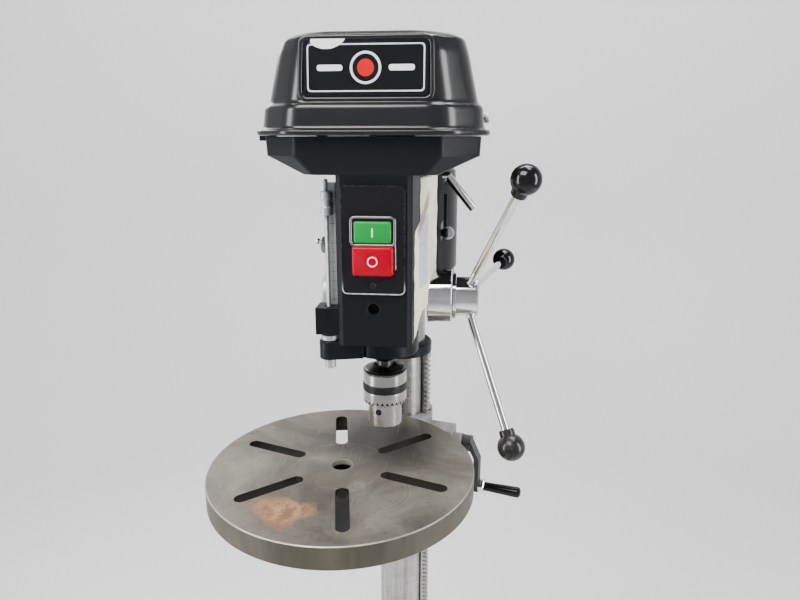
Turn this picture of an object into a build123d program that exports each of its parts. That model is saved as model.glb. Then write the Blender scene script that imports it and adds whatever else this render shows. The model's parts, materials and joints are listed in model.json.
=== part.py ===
from build123d import *
import math
import os

# Floor-standing drill press, in millimetres. The row's origin is on the floor, at the centre of the
# base's bolt holes. Pieces are modelled about the column's axis (X right, Y back, Z up) and
# write() moves them back by COLUMN_Y.

# ---- driving dimensions: stand ----
COLUMN_Y = 130.0
BASE_WIDTH = 280.0
BASE_DEPTH = 457.0
BASE_HEIGHT = 40.0
BASE_SKIN = 14.0
BASE_PAD = 6.0
BASE_BOLT_X = 230.0
BASE_BOLT_Y = 400.0
BASE_BOLT_R = 6.5
BASE_SLOT_X = 55.0
BASE_SLOT_LENGTH = 170.0
BASE_SLOT_WIDTH = 16.0
COLUMN_R = 36.5
COLUMN_WALL = 6.0
COLUMN_TOP = 1470.0
FLANGE_TOP = 120.0
FLANGE_BOLT_PCD = 142.0
RING_Z = (1210.0, 1228.0)
RING_R = 47.0

# ---- driving dimensions: head, quill and chuck ----
SPINDLE_Y = -227.0
HEAD_Z = (1313.0, 1500.0)
HEAD_FRONT_Y = -292.0
HEAD_SIDE_Z = 1343.0
COLUMN_BOSS_R = 52.0
COLUMN_BOSS_Z = 1296.0
QUILL_R = 30.0
QUILL_Z = (1287.0, 1466.0)
FEED_Y = -187.0
FEED_Z = 1347.0
FEED_MODULE = 1.5
FEED_TEETH = 16
KNOB_X = 154.0
KNOB_RADIUS = 180.4
KNOB_PHASE = 124.1
KNOB_R = 16.3
TOGGLE_X = -57.0
TOGGLE_Y = -221.0
GLAND_Y = -20.0
GLAND_Z = 1372.0
STOP_X = -59.5
STOP_Y = -264.0
LUG_Z = (1320.0, 1351.0)
CHUCK_Z = (1191.0, 1268.0)
SLEEVE_Z = (1222.0, 1262.0)
SLEEVE_R = 26.5
CHUCK_BODY_R = 20.5
KEY_HOLE_ANGLE = -106.0
JAW_LEAN = 15.0
JAW_TRAVEL = 24.0

# ---- driving dimensions: belt drive ----
CASE_X = -8.0
TRAY_Z = (1500.0, 1539.0)
LID_TOP = 1642.0
IDLER_Y = -50.0
MOTOR_Y = 150.0
MOTOR_R = 82.0
MOTOR_Z = (1285.0, 1492.0)
PULLEY_Z = 1543.0
STEP_HEIGHT = 16.5
SPINDLE_STEPS = (66.0, 54.0, 42.0, 30.0)
IDLER_STEPS = (30.0, 42.0, 54.0, 66.0)
MOTOR_STEPS = (62.0, 50.0, 38.0, 26.0)
SPINDLE_BELT_STEP = 0
MOTOR_BELT_STEP = 3
BAR_X = 49.0
BAR_Z = 1414.0
LEVER_Y = -100.0
LEVER_Z = 1488.0
HINGE_X = -139.6
HINGE_Z = 1541.5

# ---- driving dimensions: table and its lift ----
SWING = -14.8
TABLE_REACH = 227.0
TABLE_R = 171.5
TABLE_Z = 1125.0
TABLE_SKIN = 14.0
TABLE_RIM = 29.0
TABLE_HOLE_R = 13.5
SLOT_WIDTH = 16.5
SLOT_FROM = 57.0
SLOT_TO = 146.0
SLOT_PHASE = 115.6
BRACKET_Z = (1004.0, 1110.0)
TILT_Z = 1058.0
RACK_MODULE = 2.5
RACK_PITCH_X = 44.0
LIFT_TEETH = 14
WORM_Z = 1066.0
CRANK_LENGTH = 71.0
CRANK_X = 118.0

# ---- fits ----
RUN = 0.05
GAP = 0.3


# ------------------------------------------------------------------ shapes used by many pieces
def block(x, y, z):
    """Box between two limits on each axis."""
    size = [high - low for low, high in (x, y, z)]
    middle = [(high + low) / 2 for low, high in (x, y, z)]
    return Pos(*middle) * Box(*size)


def disc(radius, z, at=(0.0, 0.0)):
    """Upright cylinder between two heights."""
    return Pos(at[0], at[1], (z[0] + z[1]) / 2) * Cylinder(radius, z[1] - z[0])


def ring(outer, inner, z, at=(0.0, 0.0)):
    """Upright tube between two heights."""
    return disc(outer, z, at) - disc(inner, z, at)


def taper(low_r, high_r, z, at=(0.0, 0.0)):
    """Upright cone frustum."""
    return Pos(at[0], at[1], (z[0] + z[1]) / 2) * Cone(low_r, high_r, z[1] - z[0])


def rod_x(radius, x, y, z):
    """Cylinder along X."""
    return Pos((x[0] + x[1]) / 2, y, z) * Rot(0, 90, 0) * Cylinder(radius, x[1] - x[0])


def rod_y(radius, x, y, z):
    """Cylinder along Y."""
    return Pos(x, (y[0] + y[1]) / 2, z) * Rot(90, 0, 0) * Cylinder(radius, y[1] - y[0])


def rod_between(radius, start, end):
    """Cylinder from one point to another."""
    a, b = Vector(*start), Vector(*end)
    plane = Plane(origin=(a + b) * 0.5, z_dir=b - a)
    return plane * Cylinder(radius, (b - a).length)


def plate_z(points, z):
    """Plan outline extruded between two heights."""
    outline = Polygon(*points, align=None)
    return Pos(0, 0, z[0]) * extrude(outline, z[1] - z[0], dir=(0, 0, 1))


def plate_x(points, x):
    """Outline of (y, z) points extruded along X."""
    face = Plane.YZ.offset(x[0]) * Polygon(*points, align=None)
    return extrude(face, x[1] - x[0], dir=(1, 0, 0))


def plate_y(points, y):
    """Outline of (x, z) points extruded along Y."""
    face = Plane((0, y[0], 0), x_dir=(1, 0, 0), z_dir=(0, -1, 0)) * Polygon(*points, align=None)
    return extrude(face, y[1] - y[0], dir=(0, 1, 0))


def spun(profile, at=(0.0, 0.0)):
    """Outline of (radius, z) points turned about an upright axis."""
    face = Plane.XZ * Polygon(*profile, align=None)
    return Pos(at[0], at[1], 0) * revolve(face, Axis.Z)


def spun_x(profile, y, z):
    """Outline of (x, radius) points turned about an axis along X."""
    face = Plane.XY * Polygon(*profile, align=None)
    return Pos(0, y, z) * revolve(face, Axis.X)


def hexagon(across_flats, z, at=(0.0, 0.0)):
    """Upright hexagonal prism."""
    outline = RegularPolygon(across_flats / 2, 6, major_radius=False)
    return Pos(at[0], at[1], z[0]) * extrude(outline, z[1] - z[0])


def oblong(length, width, z, at, angle=0.0):
    """Upright slot-shaped prism whose long side lies at angle from +X."""
    return Pos(at[0], at[1], z[0]) * Rot(0, 0, angle) * extrude(SlotOverall(length, width), z[1] - z[0])


def gear_outline(module, teeth, first_angle, thinning):
    """Involute spur gear outline, 20 degree pressure angle, with one tooth centred on first_angle."""
    pressure = math.radians(20)
    pitch_r = module * teeth / 2
    base_r = pitch_r * math.cos(pressure)
    tip_r = pitch_r + module
    root_r = pitch_r - 1.2 * module
    half_tooth = (math.pi * module / 2 - thinning) / 2 / pitch_r
    involute_at_pitch = math.tan(pressure) - pressure
    steps = 5
    flank = [(root_r, half_tooth + involute_at_pitch)]
    for step in range(steps + 1):
        radius = base_r + (tip_r - base_r) * step / steps
        roll = math.acos(min(1.0, base_r / radius))
        flank.append((radius, half_tooth + involute_at_pitch - (math.tan(roll) - roll)))
    points = []
    for tooth in range(teeth):
        centre = math.radians(first_angle) + 2 * math.pi * tooth / teeth
        sides = [(r, centre - a) for r, a in flank] + [(r, centre + a) for r, a in reversed(flank)]
        points += [(r * math.cos(a), r * math.sin(a)) for r, a in sides]
    return points


def rack_gap(module, addendum, depth, thinning):
    """Outline of the gap between two straight rack teeth, (across the pitch line, along the rack)."""
    slope = math.tan(math.radians(20))
    half_gap = math.pi * module / 4 + thinning / 2
    mouth = half_gap + (addendum + 1.0) * slope
    floor = half_gap - depth * slope
    return [(addendum + 1.0, -mouth), (addendum + 1.0, mouth), (-depth, floor), (-depth, -floor)]


# ------------------------------------------------------------------ stand
def base_bolts_at():
    """Centres of the base's four bolt holes."""
    return [
        (x, y - COLUMN_Y)
        for x in (-BASE_BOLT_X / 2, BASE_BOLT_X / 2)
        for y in (-BASE_BOLT_Y / 2, BASE_BOLT_Y / 2)
    ]


def base():
    """Cast base: open underneath, with a machined pad, two clamping slots and four bolt holes."""
    centre_y = -COLUMN_Y
    outline = RectangleRounded(BASE_WIDTH, BASE_DEPTH, 26)
    body = Pos(0, centre_y, 0) * extrude(outline, BASE_HEIGHT, taper=3)
    inner = RectangleRounded(BASE_WIDTH - 32, BASE_DEPTH - 32, 14)
    body -= Pos(0, centre_y, 0) * extrude(inner, BASE_HEIGHT - BASE_SKIN)
    for x, y in base_bolts_at():
        body += disc(17, (0, BASE_HEIGHT), (x, y))
    for y in (-110.0, -20.0):
        body += block((-BASE_WIDTH / 2 + 10, BASE_WIDTH / 2 - 10), (y - 5, y + 5), (0, BASE_HEIGHT - 5))
    pad_top = BASE_HEIGHT + BASE_PAD
    body += block((-104, 104), (-342, -130), (BASE_HEIGHT - 1, pad_top))
    body += disc(90, (BASE_HEIGHT - 1, pad_top))
    for x in (-BASE_SLOT_X, BASE_SLOT_X):
        body -= oblong(BASE_SLOT_LENGTH, BASE_SLOT_WIDTH, (0, pad_top + 1), (x, -236), 90)
    for x, y in base_bolts_at():
        body -= disc(BASE_BOLT_R, (-1, BASE_HEIGHT + 1), (x, y))
    for x, y in flange_bolts_at():
        body += disc(11, (BASE_HEIGHT - BASE_SKIN - 6, BASE_HEIGHT), (x, y))
        body -= disc(6.1, (BASE_HEIGHT - BASE_SKIN - 8, pad_top + 1), (x, y))
    return body


def flange_bolts_at():
    """Centres of the four bolts that hold the column flange."""
    radius = FLANGE_BOLT_PCD / 2
    return [
        (radius * math.cos(math.radians(a)), radius * math.sin(math.radians(a)))
        for a in (45, 135, 225, 315)
    ]


def column_flange():
    """Cast foot of the column, with a groove that holds the rack's lower end."""
    low = BASE_HEIGHT + BASE_PAD
    body = spun([
        (COLUMN_R + RUN, low), (88, low), (88, low + 13), (84, low + 16), (58, low + 18),
        (48, FLANGE_TOP - 24), (48, FLANGE_TOP - 2), (46, FLANGE_TOP), (COLUMN_R + RUN, FLANGE_TOP),
    ])
    body -= ring(43, COLUMN_R - 1, (FLANGE_TOP - 7, FLANGE_TOP + 1))
    for x, y in flange_bolts_at():
        body -= disc(6.5, (low - 1, low + 30), (x, y))
        body -= disc(12.5, (low + 16, low + 40), (x, y))
    return body


def flange_bolts():
    """Four hexagon bolts with washers."""
    seat = BASE_HEIGHT + BASE_PAD + 16.0
    pieces = []
    for x, y in flange_bolts_at():
        head_z = (seat + 2.4, seat + 10)
        bolt = hexagon(18, head_z, (x, y)) & taper(12.6, 9.2, head_z, (x, y))
        bolt += disc(11, (seat, seat + 2.4), (x, y)) + disc(6, (BASE_HEIGHT - BASE_SKIN, seat + 3), (x, y))
        pieces.append(bolt)
    return Compound(pieces)


def column():
    """Ground steel tube from the foot into the head."""
    return ring(COLUMN_R, COLUMN_R - COLUMN_WALL, (BASE_HEIGHT + BASE_PAD, COLUMN_TOP))


def rack_ring():
    """Collar that keeps the rack's upper end against the column and lets it travel round."""
    low, high = RING_Z
    body = spun([
        (COLUMN_R + RUN, low), (RING_R - 1, low), (RING_R, low + 1), (RING_R, high - 3),
        (RING_R - 3, high), (COLUMN_R + RUN, high),
    ])
    body -= ring(43, COLUMN_R - 1, (low - 1, low + 8))
    body -= rod_y(4.2, 0, (COLUMN_R - 1, RING_R + 1), high - 5)
    return body


# ------------------------------------------------------------------ head
def head_outline():
    """Plan of the head casting: narrow front with bevelled corners, widening to the rear."""
    right = [(33, HEAD_FRONT_Y), (38, HEAD_FRONT_Y + 6), (60, -176), (64, -60), (60, 10), (44, 44)]
    left = [(-44, 44), (-60, 10), (-64, -60), (-64, -176), (-44, HEAD_FRONT_Y + 6), (-39, HEAD_FRONT_Y)]
    return right + left


def head_underside():
    """Side profile, (y, z), of what is cut from below the head behind its front edge."""
    low = HEAD_Z[0] - 20
    rise = [(HEAD_FRONT_Y + 6, HEAD_Z[0]), (-268, 1321), (-255, 1334), (-239, HEAD_SIDE_Z)]
    return [(HEAD_FRONT_Y + 6, low)] + rise + [(100, HEAD_SIDE_Z), (100, low)]


def head_casting():
    """Head: bored for the column, quill, feed shaft and slide bars, hollow for switch and lamp."""
    spindle = (0.0, SPINDLE_Y)
    plan = fillet(Polygon(*head_outline(), align=None).vertices(), 2.5)
    body = Pos(0, 0, HEAD_Z[0]) * extrude(plan, HEAD_Z[1] - HEAD_Z[0], dir=(0, 0, 1))
    body -= plate_x(head_underside(), (-90, 90))
    body += disc(38, (HEAD_Z[0], HEAD_SIDE_Z + 1), spindle)
    body += disc(COLUMN_BOSS_R, (COLUMN_BOSS_Z, HEAD_Z[1]))
    body += disc(42, (HEAD_Z[1] - 1, 1534), spindle)
    body += block((-73, -40), (STOP_Y - 12, STOP_Y + 16), LUG_Z)
    body -= disc(QUILL_R + RUN, (HEAD_Z[0] - 1, 1473), spindle)
    body -= disc(31, (1473, 1535), spindle)
    body -= disc(COLUMN_R + RUN, (COLUMN_BOSS_Z - 1, COLUMN_TOP + 0.5))
    body -= block((-38, 38), (-166, -60), (HEAD_Z[0] - 1, 1440))
    body -= block((-34, 27), (HEAD_FRONT_Y - 1, -262), (1380, 1484))
    body -= rod_x(14.2, (-16, 70), FEED_Y, FEED_Z)
    body -= rod_x(10 + RUN, (-70, 0), FEED_Y, FEED_Z)
    body -= rod_x(33.2, (50, 90), FEED_Y, FEED_Z)
    body -= rod_x(28.2, (-90, -52), FEED_Y, FEED_Z)
    body -= disc(4 + 0.6, (LUG_Z[0] - 1, LUG_Z[1] + 1), (STOP_X, STOP_Y))
    body -= rod_y(6.5, -4, (HEAD_FRONT_Y - 1, HEAD_FRONT_Y + 9), 1356)
    for side in (-1, 1):
        body -= rod_y(8 + RUN, side * BAR_X, (-140, 60), BAR_Z)
    body -= rod_x(5.2, (BAR_X + 6, 80), -110, BAR_Z)
    body -= block((BAR_X - 6, BAR_X + 6), (LEVER_Y - 24, LEVER_Y + 24), (BAR_Z, LEVER_Z + 8))
    body -= rod_x(6 + RUN, (BAR_X - 10, 80), LEVER_Y, LEVER_Z)
    body += rod_x(8, (TOGGLE_X - 6, -50), TOGGLE_Y, BAR_Z)
    body -= rod_x(5.2, (TOGGLE_X - 7, -50), TOGGLE_Y, BAR_Z)
    body -= rod_x(9, (-80, -47), GLAND_Y, GLAND_Z)
    body -= rod_y(5, 0, (HEAD_FRONT_Y + 20, -60), 1484)
    return body


def power_gland():
    """Strain relief for the supply lead, screwed into the left side of the head."""
    body = rod_x(8.8, (-66, -48), GLAND_Y, GLAND_Z) + rod_x(12, (-68, -62.7), GLAND_Y, GLAND_Z)
    body += rod_x(9, (-78, -67), GLAND_Y, GLAND_Z)
    return body - rod_x(4.5, (-79, -47), GLAND_Y, GLAND_Z)


def switch_panel():
    """Front plate with openings for the two push buttons."""
    outline = Pos(-3.5, 0) * RectangleRounded(69, 117, 6)
    face = Plane((0, HEAD_FRONT_Y, 1431.5), x_dir=(1, 0, 0), z_dir=(0, -1, 0))
    body = extrude(face * outline, 3)
    depth = (HEAD_FRONT_Y - 4, HEAD_FRONT_Y + 1)
    for x, z in (button_size("start"), button_size("stop")):
        body -= block((x[0] - 0.5, x[1] + 0.5), depth, (z[0] - 0.5, z[1] + 0.5))
    return body


def button_size(name):
    """Limits in x and z of a button's cap."""
    return ((-23.0, 15.0), (1430.0, 1451.5)) if name == "start" else ((-25.0, 18.0), (1395.0, 1426.0))


def button_middle(name):
    """Middle of a button's cap in x and z."""
    x, z = button_size(name)
    return (x[0] + x[1]) / 2, (z[0] + z[1]) / 2


def button(name, front):
    """Push button: crowned cap, retaining flange behind the panel and a square stem."""
    x, z = button_size(name)
    middle_x, middle_z = button_middle(name)
    cap = block(x, (front, HEAD_FRONT_Y + 0.3), z)
    cap = fillet(cap.faces().sort_by(Axis.Y)[0].edges(), 1.6)
    flange = block((x[0] - 2, x[1] + 2), (HEAD_FRONT_Y + 0.2, HEAD_FRONT_Y + 2), (z[0] - 1.8, z[1] + 1.8))
    stem = block((middle_x - 4, middle_x + 4), (HEAD_FRONT_Y + 1, -277), (middle_z - 4, middle_z + 4))
    return cap + flange + stem


def switch_block():
    """Contact block behind the panel, with a socket for each button's stem."""
    body = block((-30, 23), (-286, -264), (1388, 1460))
    for name in ("start", "stop"):
        x, z = button_middle(name)
        body -= block((x - 4.5, x + 4.5), (-287, -268), (z - 4.5, z + 4.5))
    for z in (1394, 1446):
        body += block((-22, -14), (-264.5, -262), (z - 3, z + 3))
    return body


def lamp_socket():
    """Lamp holder on the roof of the head's lower hollow."""
    body = disc(15, (1408, 1440), (0, -112)) - disc(12.2, (1407, 1432), (0, -112))
    return body + block((-12, 12), (-130, -94), (1436, 1440))


def lamp_bulb():
    """Work-light bulb, cap up."""
    body = disc(12, (1386, 1431.5), (0, -112)) + Pos(0, -112, 1372) * Sphere(17)
    return body


def ball_profile(radius, centre, start, end, steps=14):
    """Points of (radius, z) round a ball on the axis, between two latitudes in degrees."""
    angles = [math.radians(start + (end - start) * step / steps) for step in range(steps + 1)]
    return [(radius * math.cos(a), centre + radius * math.sin(a)) for a in angles]


def lamp_toggle():
    """Lever of the lamp's toggle switch, pivoting on a ball in a boss on the left of the head."""
    ball_r, rod_r, tip_r, reach, rise = 4.9, 2.2, 3.6, 23.4, 11.0
    pivot = ball_profile(ball_r, 0, -90, math.degrees(math.acos(rod_r / ball_r)))
    tip = ball_profile(tip_r, reach, -math.degrees(math.acos(rod_r / tip_r)), 90)
    pivot[0] = (0, -ball_r)
    tip[-1] = (0, reach + tip_r)
    return Pos(TOGGLE_X, TOGGLE_Y, BAR_Z) * Rot(0, rise - 90, 0) * spun(pivot + tip)


def feed_barrel():
    """Bright barrel around the feed shaft on the right of the head."""
    body = rod_x(33, (50.2, 80), FEED_Y, FEED_Z) + rod_x(14, (16.5, 51), FEED_Y, FEED_Z)
    body = fillet(body.faces().sort_by(Axis.X)[-1].edges(), 1.5)
    return body - rod_x(10 + RUN, (10, 90), FEED_Y, FEED_Z)


def spring_cap():
    """Cup that holds the quill's return spring on the left of the head."""
    body = rod_x(28, (-80, -52.2), FEED_Y, FEED_Z)
    body = fillet(body.faces().sort_by(Axis.X)[0].edges(), 3)
    body -= rod_x(25.5, (-77, -52), FEED_Y, FEED_Z)
    return body - rod_x(7.6, (-90, -70), FEED_Y, FEED_Z)


def return_spring():
    """Flat spiral spring, outer end against the cup."""
    turns = 4.5
    steps = 80
    thickness = 0.9
    centre = [
        (
            9.2 + (24.6 - 9.2) * step / steps,
            2 * math.pi * turns * step / steps,
        )
        for step in range(steps + 1)
    ]
    outer = [((r + thickness / 2) * math.cos(a), (r + thickness / 2) * math.sin(a)) for r, a in centre]
    inner = [((r - thickness / 2) * math.cos(a), (r - thickness / 2) * math.sin(a)) for r, a in centre]
    outline = [(FEED_Y + u, FEED_Z + v) for u, v in outer + inner[::-1]]
    return plate_x(outline, (-74, -58))


def scale_bar():
    """Flat depth scale that stands on the lug beside the stop rod."""
    return block((-59.2, -50.2), (-257.5, -253.5), (LUG_Z[1], 1490))


# ------------------------------------------------------------------ quill, spindle and chuck
def quill():
    """Quill: steel sleeve with rack teeth cut in its back."""
    body = ring(QUILL_R, 22.4, QUILL_Z, (0, SPINDLE_Y))
    addendum = 0.8 * FEED_MODULE
    depth = 1.35 * FEED_MODULE
    pitch_y = FEED_Y - FEED_MODULE * FEED_TEETH / 2
    low, high = 1334.0, 1436.0
    body -= block((-20, 20), (pitch_y + addendum, pitch_y + 10), (low, high))
    pitch = math.pi * FEED_MODULE
    gap = rack_gap(FEED_MODULE, addendum, depth, 0.2)
    for tooth in range(-3, 18):
        z = FEED_Z + tooth * pitch
        body -= plate_x([(pitch_y + u, z + v) for u, v in gap], (-20, 20))
    return body


def quill_bearings():
    """Lower and upper spindle bearings."""
    at = (0, SPINDLE_Y)
    lower = ring(22.3, 12, (1290, 1306), at)
    upper = ring(22.3, 12, (1448, 1463), at)
    return Compound([lower, upper])


def spindle_spline(clearance):
    """Outline of the six-spline shaft, as a face at z = 0."""
    outline = Circle(7.5 + clearance)
    for angle in (0, 60, 120):
        outline += Rot(0, 0, angle) * Rectangle(18 + 2 * clearance, 4 + 2 * clearance)
    return outline


def spindle():
    """Spindle with its splined top and plain nose for the chuck."""
    at = (0, SPINDLE_Y)
    body = disc(11.95, (1288.5, 1464), at) + disc(8, (1240, 1290), at) + disc(10, (1270, 1275), at)
    return body + Pos(at[0], at[1], 1463) * extrude(spindle_spline(0), 1600 - 1463)


def depth_yoke():
    """Clamp round the quill's lower end, with an ear that carries the stop rod."""
    z = (QUILL_Z[0] + 2, 1311.0)
    at = (0, SPINDLE_Y)
    body = disc(41, z, at)
    body += plate_z([(-20, -266), (STOP_X, STOP_Y - 12), (STOP_X, STOP_Y + 12), (-30, -206)], z)
    body += disc(12, z, (STOP_X, STOP_Y))
    body -= disc(QUILL_R + RUN, (z[0] - 1, z[1] + 1), at)
    body -= disc(4 + RUN, (z[0] - 1, z[1] + 1), (STOP_X, STOP_Y))
    body -= block((-1.5, 1.5), (SPINDLE_Y + 20, SPINDLE_Y + 45), (z[0] - 1, z[1] + 1))
    return body


def depth_rod():
    """Threaded stop rod with a round foot below the ear."""
    at = (STOP_X, STOP_Y)
    body = disc(4, (1280, 1494), at) + disc(6.5, (1277, QUILL_Z[0] + 2), at)
    return chamfer(body.faces().sort_by(Axis.Z)[-1].edges(), 1)


def rod_nut():
    """Round nut that clamps the stop rod to the ear."""
    at = (STOP_X, STOP_Y)
    body = disc(9.5, (1311, 1318), at)
    body = chamfer(body.edges(), 0.8)
    return body - disc(4 + RUN, (1310, 1319), at)


def depth_nuts():
    """Pair of round stop nuts joined by a waist."""
    at = (STOP_X, STOP_Y)
    low = 1455.0
    lower = [(4.3, 0), (5.6, 0), (6.2, 0.8), (6.2, 8), (5.4, 9)]
    upper = [(5.4, 17), (6.2, 18), (6.2, 25), (5.6, 26), (4.3, 26)]
    return spun([(r, low + z) for r, z in lower + upper], at)


def chuck_body():
    """Drill chuck body: dome above the sleeve, nose below it with key holes and jaw channels."""
    low, high = CHUCK_Z
    at = (0, SPINDLE_Y)
    dome = SLEEVE_Z[1] + 0.3
    body = spun([
        (0, low), (16.5, low), (CHUCK_BODY_R, low + 3), (CHUCK_BODY_R, dome), (26, dome), (26, dome + 1.2),
        (24, dome + 3), (17, high - 1), (13, high), (0, high),
    ], at)
    body -= disc(8.05, (1239.5, high + 1), at)
    body -= disc(7, (low - 1, 1226), at)
    for turn in range(3):
        body -= Pos(0, SPINDLE_Y, 0) * Rot(0, 0, KEY_HOLE_ANGLE + 120 * turn) * rod_x(3.2, (9, 24), 0, 1213)
        body -= jaw_rod(turn, 3.75, -6, 58)
    return body


def jaw_frame(turn):
    """Place of one jaw's plane: local X points outwards from the spindle."""
    return Pos(0, SPINDLE_Y, 0) * Rot(0, 0, KEY_HOLE_ANGLE + 60 + 120 * turn)


def jaw_rod(turn, radius, start, end):
    """Slanted cylinder along one jaw's path, measured up from its closed tip."""
    lean = math.radians(JAW_LEAN)
    tip = (2.6, CHUCK_Z[0] - 4.0)
    points = [(tip[0] + s * math.sin(lean), 0, tip[1] + s * math.cos(lean)) for s in (start, end)]
    return jaw_frame(turn) * rod_between(radius, *points)


def jaw(turn):
    """Chuck jaw, drawn back to its open position."""
    lean = math.radians(JAW_LEAN)
    edge_x, outer_x = 14.0, 30.0
    half = (edge_x - 0.4) * math.tan(math.radians(60))
    sector = [(0.4, 0), (edge_x, half), (outer_x, half), (outer_x, -half), (edge_x, -half)]
    wedge = plate_z(sector, (CHUCK_Z[0] - 4, CHUCK_Z[0] + 40))
    closed = jaw_rod(turn, 3.6, -3, 27) & (jaw_frame(turn) * wedge)
    shift = jaw_frame(turn).orientation.Z
    out = JAW_TRAVEL * math.sin(lean)
    return Pos(
        out * math.cos(math.radians(shift)), out * math.sin(math.radians(shift)), JAW_TRAVEL * math.cos(lean)
    ) * closed


def chuck_sleeve():
    """Key-driven sleeve with bevel teeth round its lower edge."""
    low, high = SLEEVE_Z
    at = (0, SPINDLE_Y)
    bore = CHUCK_BODY_R + RUN
    band_r = SLEEVE_R + 0.4
    lower = [(bore, low), (23, low), (SLEEVE_R, low + 3.5), (SLEEVE_R, 1237), (band_r, 1237.5)]
    upper = [(band_r, 1247.7), (SLEEVE_R, 1248.2), (SLEEVE_R, high - 1), (SLEEVE_R - 1, high), (bore, high)]
    body = spun(lower + upper, at)
    teeth = 28
    notch = [(-1.9, low - 1), (1.9, low - 1), (0, low + 5)]
    for tooth in range(teeth):
        cut = plate_x(notch, (19, 30))
        body -= Pos(0, SPINDLE_Y, 0) * Rot(0, 0, 360 * tooth / teeth) * cut
    return body


# ------------------------------------------------------------------ feed
def pinion_shaft():
    """Feed shaft with the pinion that drives the quill's rack."""
    body = rod_x(10, (-56, 84), FEED_Y, FEED_Z) + rod_x(7.2, (-82, -55), FEED_Y, FEED_Z)
    body += rod_x(8, (83, 108), FEED_Y, FEED_Z)
    body = body - rod_x(14, (-13, 13), FEED_Y, FEED_Z)
    teeth = [(FEED_Y + u, FEED_Z + v) for u, v in gear_outline(FEED_MODULE, FEED_TEETH, 180, 0.2)]
    return body + plate_x(teeth, (-13, 13))


def handle_line(number, reach):
    """Point on a feed handle's axis, at a distance from the feed shaft's axis."""
    start_x, start_r = 98.0, 10.0
    share = (reach - start_r) / (KNOB_RADIUS - start_r)
    angle = math.radians(KNOB_PHASE + 120 * number)
    x = start_x + (KNOB_X - start_x) * share
    return x, FEED_Y + reach * math.cos(angle), FEED_Z + reach * math.sin(angle)


def feed_hub():
    """Hub with three sockets for the feed handles."""
    flange = [(80.3, 0), (80.3, 28), (81, 29), (84.5, 29), (85, 28.5), (85, 24.5)]
    body = spun_x(flange + [(110.5, 24.5), (112, 23), (112, 0)], FEED_Y, FEED_Z)
    body -= rod_x(8 + RUN, (83, 108.5), FEED_Y, FEED_Z) + rod_x(10 + RUN, (70, 84.2), FEED_Y, FEED_Z)
    for number in range(3):
        body -= rod_between(4.85, handle_line(number, 12), handle_line(number, 60))
    return body


def feed_rods():
    """Three handle rods."""
    rods = [rod_between(4.8, handle_line(n, 12.5), handle_line(n, KNOB_RADIUS - 3)) for n in range(3)]
    return Compound(rods)


def feed_knobs():
    """Three ball knobs with short necks."""
    knobs = []
    for number in range(3):
        ball = Pos(*handle_line(number, KNOB_RADIUS)) * Sphere(KNOB_R)
        ball += rod_between(9, handle_line(number, KNOB_RADIUS - 21), handle_line(number, KNOB_RADIUS - 4))
        knobs.append(ball - rod_between(4.85, handle_line(number, 120), handle_line(number, KNOB_RADIUS - 2)))
    return Compound(knobs)


# ------------------------------------------------------------------ belt drive
def case_outline(half_width, half_front, front_y, rear_y, corner=10.0):
    """Plan of the belt case: front facet, angled corners, straight sides and angled rear corners."""
    shoulder = front_y + 0.9 * (half_width - half_front)
    rear_shoulder = rear_y - 70
    half_rear = half_width * 0.5
    half = [
        (half_front, front_y), (half_width, shoulder), (half_width, rear_shoulder), (half_rear, rear_y),
    ]
    points = half + [(-x, y) for x, y in reversed(half)]
    outline = Polygon(*[(x + CASE_X, y) for x, y in points], align=None)
    return fillet(outline.vertices(), corner)


def case_solid(levels, inset=0.0):
    """Straight-sided loft through (z, half width, half front, front y, rear y) levels."""
    total = None
    for below, above in zip(levels, levels[1:]):
        faces = [
            Pos(0, 0, z) * case_outline(w - inset, f - 0.6 * inset, y0 + inset, y1 - inset)
            for z, w, f, y0, y1 in (below, above)
        ]
        piece = loft(faces, ruled=True)
        total = piece if total is None else total + piece
    return total


def tray_levels(lift=0.0):
    """Outer levels of the belt tray."""
    low, high = TRAY_Z
    return [
        (low + lift, 72.5, 59, -292, 205),
        (low + 19 + lift * 0.4, 115, 75, -302, 232),
        (high + lift * 2, 116, 75, -303, 233),
    ]


def belt_tray():
    """Lower half of the belt case, bolted to the head, with half of each hinge."""
    body = case_solid(tray_levels()) - case_solid(tray_levels(3.0), 3.0)
    body -= disc(42.3, (TRAY_Z[0] - 1, TRAY_Z[0] + 5), (0, SPINDLE_Y))
    body -= oblong(76, 54, (TRAY_Z[0] - 1, TRAY_Z[0] + 5), (0, MOTOR_Y - 6), 90)
    for middle in hinge_middles():
        for side in (-1, 1):
            y = sorted((middle + side * 8, middle + side * 20))
            body += rod_y(5, HINGE_X, y, HINGE_Z)
            body += block((HINGE_X - 5, CASE_X - 113.5), y, (HINGE_Z - 7.5, HINGE_Z - 3.8))
            body += block((HINGE_X - 5, HINGE_X), y, (HINGE_Z - 7.5, HINGE_Z))
        body += rod_y(2.4, HINGE_X, (middle - 20, middle + 20), HINGE_Z)
    return body


def hinge_middles():
    """Middle of each lid hinge along Y."""
    return -200.0, 96.0


def lid_levels():
    """Outer levels of the lid's body above its flange."""
    return [
        (1545, 118, 77, -306, 236),
        (1569, 117, 76, -304, 235),
        (1572, 112, 73.5, -300, 230),
        (1622, 101, 66, -295, 219),
        (1634, 97, 63, -291, 214),
        (LID_TOP, 88, 56, -282, 204),
    ]


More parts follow.
